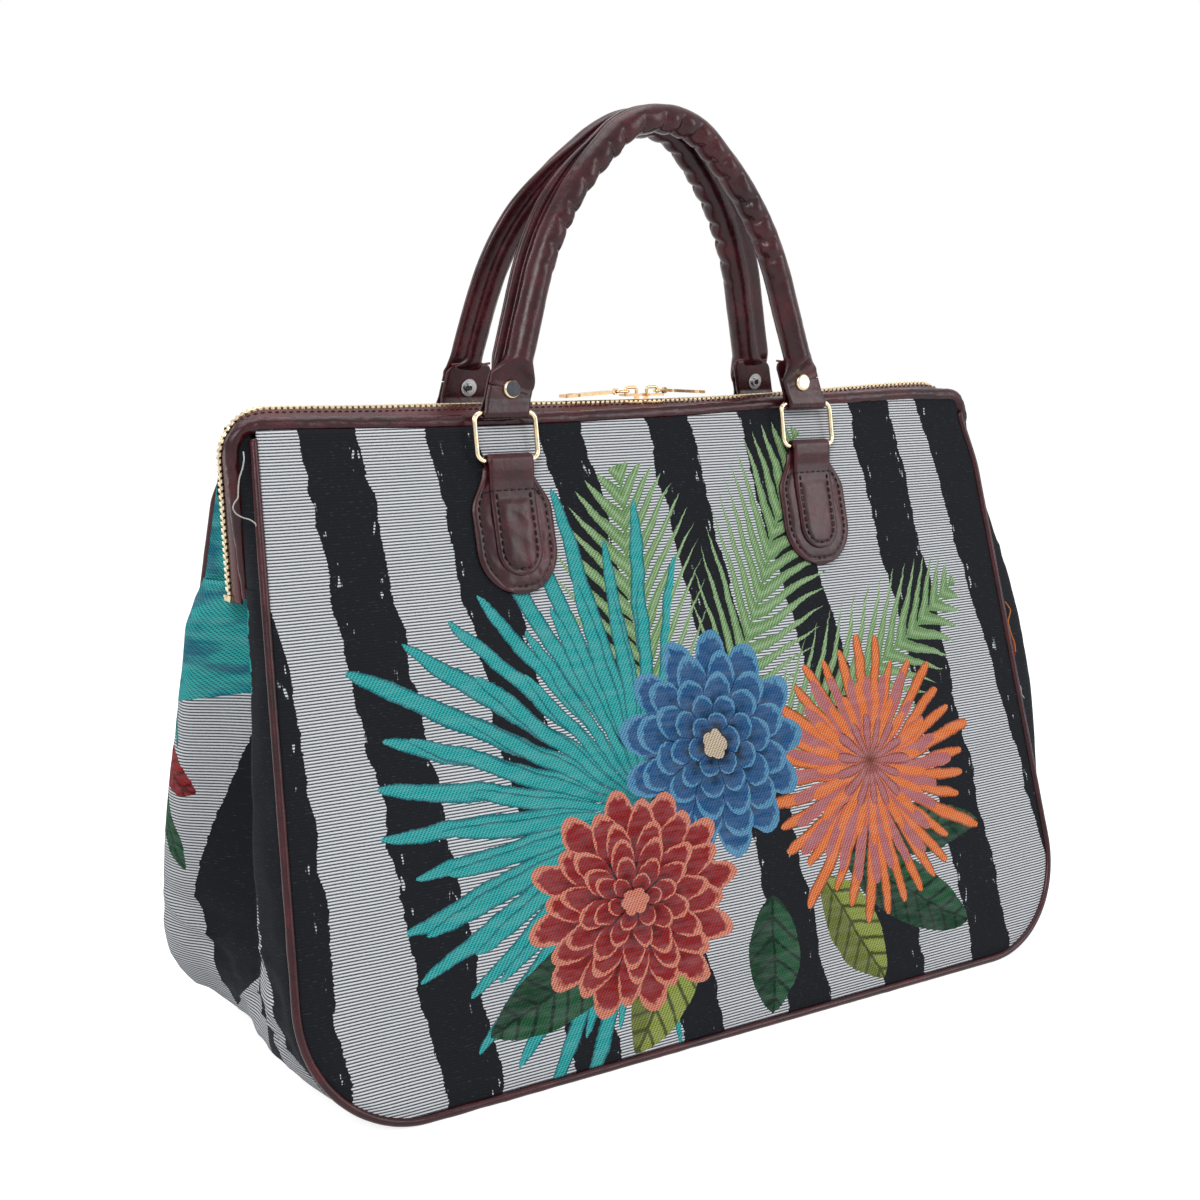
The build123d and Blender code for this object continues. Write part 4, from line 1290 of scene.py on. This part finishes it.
def tab_patch(name, x, back, creased):
    foot = TAB_FOOT + 0.02
    rows = foot + (TAB_NECK - foot) * (np.linspace(0, 1, 60) ** 1.5)
    s = np.sin(np.linspace(-pi / 2, pi / 2, 41))
    outer, inner = [], []
    for v in rows:
        half = max(patch_half(v), 0.3)
        u = half * s
        edge = np.minimum(half - np.abs(u), v - foot)
        dome = 1 - (1 - np.clip(edge / 2.2, 0, 1)) ** 2
        puff = 0.9 * smooth(edge / 9) * (0.4 + 0.6 * creased)
        seam = -0.45 * np.exp(-((edge - 3.8) / 0.8) ** 2)
        waves = np.array([rough(a / 11, v / 16, x) for a in u])
        folds = np.array([rough(a / 7 + v / 30, v / 13, 3.0 + x) for a in u])
        folds = creased * (0.7 * waves - 0.5 * np.abs(folds))
        out = PATCH_OUT + 0.9 + 0.95 * dome + puff + seam + folds * smooth(edge / 4)
        outer.append(on_front(x + u, v, out, back))
        inner.append(on_front(x + u, v, PATCH_OUT - 0.15, back))
    points, faces = shell(np.array(outer), np.array(inner))
    return place(add_mesh(f"{name}_patch", points, faces, TAB_LEATHER), name, name)


def strap_line(lift):
    """Middle of the strap in up and out, from behind the neck over the ring's bar to the tongue's end."""
    arc = RING_HOLE + LEATHER / 2
    turn = np.linspace(-pi / 2, pi / 2, 15)
    bow = [(RING_SEAT + arc * cos(a), RING_OUT + arc * sin(a)) for a in turn]
    front = PATCH_OUT + 1.5 * LEATHER + lift
    points = [(TAB_SHOULDER + 8, RING_OUT - arc)] + bow
    points += [(RING_SEAT - 5, RING_OUT + arc - 0.7), (TONGUE_TOP + 5, front + 1.1), (TONGUE_TOP, front + 0.3)]
    points += [(v, front) for v in np.linspace(TONGUE_TOP - 4, TONGUE_FOOT, 6)]
    return softened(points, 1.3, 110)


def tongue_half(v, after):
    half = STRAP_WIDTH / 2
    if not after or v > TONGUE_FOOT + half:
        return half
    return sqrt(max(half**2 - (TONGUE_FOOT + half - v) ** 2, 0.0))


def tab_strap(name, x, back, creased, lift):
    line = strap_line(lift)
    along = unit(np.gradient(line, axis=0))
    normal = np.stack([along[:, 1], -along[:, 0]], 1)
    normal *= -1 if normal[-1, 1] < 0 else 1
    s = np.sin(np.linspace(-pi / 2, pi / 2, 29))
    turned_over = int(np.argmax(line[:, 0]))
    outer, inner = [], []
    for i, ((v, out), (nv, nout)) in enumerate(zip(line, normal)):
        half = max(tongue_half(v, i > turned_over), 0.3)
        u = half * s
        end = 99.0 if i <= turned_over else v - TONGUE_FOOT
        edge = np.minimum(half - np.abs(u), end)
        dome = 1 - (1 - np.clip(edge / 1.6, 0, 1)) ** 2
        on_patch = float(smooth((TONGUE_TOP - 3 - v) / 5)) if i > turned_over else 0.0
        seam = -0.45 * on_patch * np.exp(-((edge - 3.2) / 0.8) ** 2)
        waves = np.array([rough(a / 15, v / 24, x + 7) for a in u])
        folds = np.array([rough(a / 16 + v / 30, v / 19, x, 2) for a in u])
        folds = creased * (0.7 * waves - 0.45 * np.abs(folds))
        puff = creased * 1.1 * smooth(edge / 8) * on_patch
        h = LEATHER / 2 * (0.35 + 0.65 * dome) + seam + puff + folds * smooth(edge / 4) * on_patch
        outer.append(on_front(x + u, v + nv * h, out + nout * h, back))
        inner.append(on_front(x + u, v - nv * 0.85, out - nout * 0.85, back))
    points, faces = shell(np.array(outer), np.array(inner))
    return place(add_mesh(f"{name}_strap", points, faces, TAB_LEATHER), name)


def tab_stitches(name, x, back, lift):
    out_patch, out_tongue = PATCH_OUT + 1.95, PATCH_OUT + 2 * LEATHER + 0.15 + lift
    lines = []
    out = turned(PANEL_OUT[None], back)[0]
    for inset, foot, top, level, half_of in [
        (3.8, TAB_FOOT, TONGUE_TOP, out_patch, lambda v: patch_half(v)),
        (3.2, TONGUE_FOOT, TONGUE_TOP - 1, out_tongue, lambda v: tongue_half(v, True)),
    ]:
        turn = np.linspace(0, pi / 2, 30)
        vs = np.concatenate([np.linspace(top, foot + 26, 20), foot + 26 * (1 - np.sin(turn))])
        left = []
        for v in vs:
            w = foot + inset + (v - foot) * (top - foot - inset) / (top - foot)
            half = half_of(w)
            if foot + 30 > w:
                radius = (TAB_HALF if foot == TAB_FOOT else STRAP_WIDTH / 2) - inset
                centre = TAB_CENTRE if foot == TAB_FOOT else TONGUE_FOOT + STRAP_WIDTH / 2
                half = radius if w > centre else sqrt(max(radius**2 - (w - centre) ** 2, 0))
            else:
                half -= inset
            left.append((-half, w))
        line = np.array(left + [(-a, b) for a, b in left[::-1]])
        lines.append((on_front(x + line[:, 0], line[:, 1], level, back), out))
    v = TONGUE_TOP
    reach = patch_half(v) - 3.4
    across = np.linspace(-reach, reach, 60)
    level = np.where(np.abs(across) < STRAP_WIDTH / 2, out_tongue + 0.35, out_patch)
    lines.append((on_front(x + across, v, level, back), out))
    return stitches(f"{name}_stitches", lines, BLACK_THREAD, "bag", name, 2.5, 3.7, 0.42, 0.0)


for end in ("front", "back"):
    for side, sign in (("left", -1), ("right", 1)):
        back = end == "back"
        name = f"{end}_{side}_tab"
        x = TAB_X * sign * (-1 if back else 1)
        creased = 1.0 if sign < 0 else 0.45
        tab_patch(name, x, back, creased)
        tab_strap(name, x, back, creased, 0.3 * creased)
        tab_stitches(name, x, back, 0.3 * creased + 0.5 * creased)


# Handles

FOOT_TILT = atan2(TAB_X - ARCH[0][0], ARCH[0][1])
RING_TILT = atan2(RING_STAND - RING_OUT, RING_HEIGHT)
RING_TOP = on_panel(0.0, RING_SEAT + RING_HEIGHT * cos(RING_TILT), RING_OUT + RING_HEIGHT * sin(RING_TILT))


# The two plies of a handle's riveted end: their middles' distance from the strap's middle, and their tops
PLY_MIDDLE = 1.28
OUTER_PLY_TOP = 14.0
INNER_PLY_TOP = 23.5


def handle_space(end):
    """Function from points across, up the arch and out of its plane to the bag."""
    tilt = radians(HANDLE_LEAN[end])
    up, out = V(0, sin(tilt), cos(tilt)), V(0, -cos(tilt), sin(tilt))

    def at(points):
        points = np.asarray(points, float)
        rise = np.clip(points[..., 1] / 150, 0, 1)
        x = points[..., 0] + (4.5 if end == "front" else -4.5) * rise**2
        if end == "back":
            x = x + 5.5 * np.sin(pi * rise) * smooth(points[..., 0] / 40)
        where = RING_TOP + x[..., None] * V(1, 0, 0) + points[..., 1:2] * up + points[..., 2:3] * out
        return where * V(-1, -1, 1) if end == "back" else where

    return at


def arch_line(first, step):
    reach = first * tan(FOOT_TILT)
    corners = [(reach - TAB_X, first), (-ARCH[0][0], ARCH[0][1]), (-ARCH[1][0], ARCH[1][1])]
    corners += mirror_x(corners[::-1])
    return rounded_path(corners, [*ARCH_RADII, *ARCH_RADII[::-1]], step)


def roll_section(fin):
    """Round roll with its fin, and the flat section that it grows from, as angle, out and side."""
    radius, half = ROLL_RADIUS, 1.5
    upper, lower = asin((half - FIN_OFFSET) / radius), asin((-half - FIN_OFFSET) / radius)
    root = 0.2
    tip = radius + fin
    points, flats, kinds = [], [], []
    for t in np.linspace(1, 0, 6):
        first = radius * cos(upper)
        points.append((first + (tip - first) * t, half - FIN_OFFSET + 0.25 * sin(pi * t) - 0.5 * (t > 0.99)))
        flats.append(root * (1 - t))
        kinds.append(1.0)
    for t in np.linspace(0, 1, 44)[1:-1]:
        angle = upper + (2 * pi + lower - upper) * t
        points.append((radius * cos(angle), radius * sin(angle)))
        flats.append(root + (2 * pi - 2 * root) * t)
        kinds.append(0.0)
    for t in np.linspace(0, 1, 6):
        first = radius * cos(lower)
        points.append((first + (tip - first) * t, -half - FIN_OFFSET - 0.25 * sin(pi * t) + 0.5 * (t > 0.99)))
        flats.append(2 * pi - root * (1 - t))
        kinds.append(1.0)
    flats = np.array(flats)
    c, s = np.cos(flats), np.sin(flats)
    flat = np.stack([12.6 * np.sign(c) * np.abs(c) ** 0.45, 1.0 * np.sign(s) * np.abs(s) ** 0.45], 1)
    return flats, np.array(points), flat, np.array(kinds)


def handle_roll(end):
    at = handle_space(end)
    line = arch_line(11.0, 1.0)
    count = len(line)
    run = np.arange(count) * path_length(line) / (count - 1)
    total = run[-1]
    along = unit(np.gradient(line, axis=0))
    outward = np.stack([-along[:, 1], along[:, 0]], 1)
    angles, tall, flat_one, fin = roll_section(4.7)
    short = roll_section(0.3)[1]
    inside = smooth((-np.cos(angles) - 0.05) / 0.75) * (1 - fin)
    seed = 3.0 if end == "front" else 17.0
    rows = []
    for i in range(count):
        first = min(run[i], total - run[i])
        thick = float(np.clip((first - 3) / 13, 0, 1))
        share = float(smooth(thick))
        gather = run[i] / 12.5 + 0.35 * rough(run[i] / 40, seed, 1.0)
        pucker = 1 - abs(sin(pi * gather)) ** 0.6
        high = float(smooth((line[i][1] - 95) / 45))
        round_one = tall * (1 - high) + short * high
        amount = float(smooth((first - 46) / 40)) * (0.75 + 0.5 * rough(run[i] / 25, seed, 8.0))
        right = run[i] > total / 2
        amount *= 1.35 if right == (end == "front") else 1.1
        offsets = np.empty((len(angles), 2))
        for k, a in enumerate(angles):
            p = flat_one[k] * (1 - share) + round_one[k] * share
            grow = 1.0 + 0.12 * thick * (1 - thick) * 4
            fine = 0.10 * rough(run[i] / 3.5, 2 * cos(a) + seed, 2 * sin(a), 2)
            fine += 0.22 * rough(run[i] / 22, cos(a) + seed, sin(a) * 1.5, 2)
            skew = pucker if a < pi else 1 - abs(sin(pi * (gather + 0.18))) ** 0.6
            depth = inside[k] * share
            dent = -min(1.8 * amount, 2.3) * skew * depth + 0.5 * amount * depth * (1 - skew)
            size = max(hypot(*p), 1e-6)
            p = p * (1 + (fine * share * (1 - 0.6 * fin[k]) + dent) / size) * (grow if not fin[k] else 1.0)
            offsets[k] = p
        centre = V(line[i][0], line[i][1], PLY_MIDDLE + (ROLL_OFFSET - PLY_MIDDLE) * share)
        points = centre + offsets[:, :1] * V(outward[i][0], outward[i][1], 0) + offsets[:, 1:] * V(0, 0, 1)
        rows.append(points)
    rows = np.array(rows)
    segments = rows.shape[1]
    flat = rows.reshape(-1, 3)
    n = len(flat)
    flat = np.vstack([flat, rows[0].mean(0), rows[-1].mean(0)])
    faces = grid_faces(count, segments, wrap_columns=True, flip=True)
    last = (count - 1) * segments
    for j in range(segments):
        k = (j + 1) % segments
        faces.append((n, j, k))
        faces.append((n + 1, last + k, last + j))
    thing = add_mesh(f"{end}_handle_roll", at(flat), faces, ROLL_LEATHER, f"{end}_handle")
    return place(thing, f"{end}_handle_cover", f"{end}_handle_cover", f"{end}_handle_core")


def handle_ends(end):
    """The riveted straps round the rings' upper bars."""
    at = handle_space(end)
    slope = tan(FOOT_TILT)
    arc = RING_HOLE + 0.9
    turn = np.linspace(pi / 2, 3 * pi / 2, 15)
    bow = [(arc * cos(a), arc * sin(a)) for a in turn]
    side = [(INNER_PLY_TOP, PLY_MIDDLE), (OUTER_PLY_TOP, PLY_MIDDLE), (6.4, PLY_MIDDLE), (2.6, 2.2)]
    points = side[1:] + bow + [(v, -out) for v, out in side[::-1]]
    line = softened(points, 0.9, 120)
    along = unit(np.gradient(line, axis=0))
    normal = np.stack([along[:, 1], -along[:, 0]], 1)
    normal *= -1 if normal[0, 1] < 0 else 1
    s = np.sin(np.linspace(-pi / 2, pi / 2, 25))
    pile, cut = Pile(), Pile()
    for sign in (-1, 1):
        outer, inner = [], []
        for (v, out), (nv, nout) in zip(line, normal):
            half = STRAP_WIDTH / 2
            near = (OUTER_PLY_TOP if out > 0 else INNER_PLY_TOP) - v
            if near < 5 and out < 0:
                half -= 5 - sqrt(max(25 - (5 - near) ** 2, 0))
            u = half * s
            edge = np.minimum(half - np.abs(u), near if near < 3 else 9)
            dome = 1 - (1 - np.clip(edge / 1.2, 0, 1)) ** 2
            h = 0.9 * (0.45 + 0.55 * dome) + 0.06 * np.array([rough(a / 5, v / 5, out) for a in u])
            shift = slope * max(v, 0.0)
            x = sign * (TAB_X - shift) + u
            outer.append(at(np.stack([x, v + nv * h, out + nout * h], 1)))
            inner.append(at(np.stack([x, np.full(len(u), v - nv * 0.8), np.full(len(u), out - nout * 0.8)], 1)))
        pile.add(*shell(np.array(outer), np.array(inner)))
        middle = sign * (TAB_X - slope * INNER_PLY_TOP)
        across = np.linspace(-11.4, 11.4, 13)
        edge = [(middle + a, INNER_PLY_TOP + 0.1 + 0.25 * sin(a), -1.5 - 0.15 * abs(a) / 12) for a in across]
        points, faces = tube(np.array(edge), 0.6, (0, 0, 1), 8)
        cut.add(at(points), faces)
    place(cut.build(f"{end}_handle_cut_edges", RED_EDGE, f"{end}_handle"), f"{end}_handle_cover")
    thing = pile.build(f"{end}_handle_ends", ROLL_LEATHER, f"{end}_handle")
    return place(thing, f"{end}_handle_cover")


RIVET_HEIGHT = 11.5
PLY_FACE = 2.23


def rivet_painted_darks(end):
    """Painted reflection and painted shade: a near-black disc on the middle of the left rivet's cap stands for its
    dark reflection, and near-black discs in the bores of the tubes behind stand for their shade.
    """
    at = handle_space(end)
    slope = tan(FOOT_TILT)
    pile = Pile()
    bore = -PLY_FACE - 1.9
    # The disc on the left cap is a painted reflection; the two discs in the bores are painted shade
    painted_reflection_discs = [(-1, PLY_FACE + 1.72, 4.0)] if end == "front" else []
    for sign, out, radius in painted_reflection_discs + [(-1, bore, 1.5), (1, bore, 1.5)]:
        middle = V(sign * (TAB_X - slope * RIVET_HEIGHT), RIVET_HEIGHT, 0)
        ring = [middle + V(radius * cos(a), radius * sin(a), 0) for a in np.linspace(0, 2 * pi, 25)[:-1]]
        level = np.array([p + V(0, 0, out) for p in ring] + [p + V(0, 0, out * 1.04) for p in ring])
        faces = [(i, (i + 1) % 24, (i + 1) % 24 + 24, i + 24) for i in range(24)]
        faces += [tuple(range(24))[::-1], tuple(range(24, 48))]
        pile.add(at(level), faces)
    thing = pile.build(f"{end}_rivet_painted_darks", PAINTED_DARK_REFLECTION_AND_SHADE, f"{end}_handle", sharp=True)
    return place(thing, f"{end}_handle_rivets")


for end in ("front", "back"):
    handle_roll(end)
    handle_ends(end)
    rivet_painted_darks(end)


# Pieces kept from the part


def dress(material, *nodes):
    for node in nodes:
        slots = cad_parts[node].data.materials
        slots.clear()
        slots.append(material)


SIDES = ("left", "right")
ENDS = ("front", "back")
dress(PALE_GOLD, *[f"{e}_{s}_ring" for e in ENDS for s in SIDES])
dress(RICH_GOLD, *[f"{s}_{part}" for s in SIDES for part in ("slider", "link", "pull")])
dress(PALE_GOLD, "front_handle_rivets")
dress(STEEL, "back_handle_rivets")
dress(LINING_CLOTH, "lining")
dress(BOARD, "base_board")


# Loose threads


def thread(name, points, material, radius=0.3):
    """Smooth curve of yarn through points in space."""
    points = np.asarray(points, float)
    runs = np.arange(len(points))
    at = np.linspace(0, runs[-1], 160)
    fine = resample(np.stack([np.interp(at, runs, points[:, k]) for k in range(3)], 1), 0.5)
    kernel = np.hanning(9) / np.hanning(9).sum()
    padded = np.vstack([np.repeat(fine[:1], 4, 0), fine, np.repeat(fine[-1:], 4, 0)])
    fine = np.stack([np.convolve(padded[:, k], kernel, "valid") for k in range(3)], 1)
    place(add_mesh(name, *tube(fine, radius, (0, -1, 0.01), 6), material), "gusset")


thread("white_loose_thread", [
    (-238.3, -21, 309), (-239.3, -24, 305.6), (-240.2, -24, 301.5), (-242.0, -24, 297.1), (-242.6, -24, 292.6),
    (-242.8, -24, 288.0), (-244.7, -24, 286.2), (-245.7, -24, 283.6), (-244.1, -24, 280.9), (-241.3, -25, 279.2),
    (-238.1, -26, 278.2), (-235.7, -27, 276.2), (-235.4, -27, 273.1),
], WHITE_THREAD, 0.32)
thread("orange_loose_thread", [
    (245.5, -39.0, 201.5), (248.6, -40.0, 198.8), (250.1, -42.5, 194.8), (246.2, -44.1, 188.3), (247.1, -45.9, 181.4),
    (249.2, -47.3, 175.4), (248.9, -48.7, 169.7),
], ORANGE_THREAD, 0.35)
thread("red_loose_thread", [
    (243.9, -41.8, 197.6), (245.3, -45.2, 183.8), (247.8, -47.0, 176.7), (247.8, -49.3, 167.6),
], RED_THREAD)
thread("pale_loose_thread", [
    (246.8, -49.3, 167.7), (243.6, -50.9, 161.2), (245.5, -52.6, 154.1), (248.8, -53.9, 149.2), (248.5, -55.0, 144.7),
    (250.6, -55.6, 142.1),
], WHITE_THREAD)


# Camera, light and floor

camera_data = bpy.data.cameras.new("camera")
camera_data.lens = 54.2
camera_data.sensor_width = 36.0
camera_data.clip_start = 0.05
camera = bpy.data.objects.new("camera", camera_data)
bpy.context.scene.collection.objects.link(camera)
YAW, PITCH, ROLL = radians(35.04), radians(-8.758), radians(0.124)
ahead = Vector((sin(YAW) * cos(PITCH), cos(YAW) * cos(PITCH), sin(PITCH)))
side = Vector((cos(YAW), -sin(YAW), 0.0))
top = side.cross(ahead)
right = side * cos(ROLL) + top * sin(ROLL)
above = top * cos(ROLL) - side * sin(ROLL)
turned_camera = Matrix((right, above, -ahead)).transposed().to_4x4()
camera.matrix_world = Matrix.Translation((-0.5775, -0.7875, 0.3676)) @ turned_camera
bpy.context.scene.camera = camera


def area(name, where, target, size, watts, colour=(1, 1, 1)):
    data = bpy.data.lights.new(name, "AREA")
    data.shape = "RECTANGLE"
    data.size, data.size_y = size
    data.energy = watts
    data.color = colour
    lamp = bpy.data.objects.new(name, data)
    lamp.location = where
    lamp.rotation_euler = (Vector(target) - Vector(where)).to_track_quat("-Z", "Y").to_euler()
    bpy.context.scene.collection.objects.link(lamp)


area("key", (-1.9, -2.0, 2.1), (0, 0, 0.2), (1.3, 1.3), 52)
area("fill", (1.9, -2.2, 1.2), (0, 0, 0.2), (1.2, 1.6), 26)
area("top", (0.1, 0.3, 2.6), (0, 0, 0.2), (1.8, 1.8), 26)
area("rim_light", (-1.6, 1.9, 1.6), (0, 0, 0.25), (1.0, 1.2), 16)

world = bpy.data.worlds.new("studio")
bpy.context.scene.world = world
world.use_nodes = True
tree = world.node_tree
background = tree.nodes["Background"]
background.inputs["Strength"].default_value = 1.0


def seen_as_background(nodes, links):
    """1 for rays from the camera, from metal and through glass."""
    ray = nodes.new("ShaderNodeLightPath")
    total = ray.outputs["Is Camera Ray"]
    for name in ("Is Glossy Ray", "Is Transmission Ray"):
        both = nodes.new("ShaderNodeMath")
        both.operation = "MAXIMUM"
        links.new(total, both.inputs[0])
        links.new(ray.outputs[name], both.inputs[1])
        total = both.outputs[0]
    return total


mix = tree.nodes.new("ShaderNodeMix")
mix.data_type = "RGBA"
tree.links.new(seen_as_background(tree.nodes, tree.links), mix.inputs["Factor"])
mix.inputs[6].default_value = (0.4, 0.4, 0.4, 1)
mix.inputs[7].default_value = (1, 1, 1, 1)
tree.links.new(mix.outputs[2], background.inputs["Color"])

floor_mesh = bpy.data.meshes.new("floor")
floor_mesh.from_pydata([(-6, -6, 0), (6, -6, 0), (6, 6, 0), (-6, 6, 0)], [], [(0, 1, 2, 3)])
floor = bpy.data.objects.new("floor", floor_mesh)
floor_look = Shader("floor")
floor_look.put(floor_look.surface.inputs["Emission Color"], (1.0, 1.0, 1.0))
glow = floor_look.times(seen_as_background(floor_look.nodes, floor_look.links), 0.82)
floor_look.put(floor_look.surface.inputs["Emission Strength"], glow)
floor_mesh.materials.append(floor_look.finish((0.55, 0.55, 0.55), 0.9, Specular_IOR_Level=0.0))
bpy.context.scene.collection.objects.link(floor)
bpy.context.scene.view_settings.view_transform = "Standard"
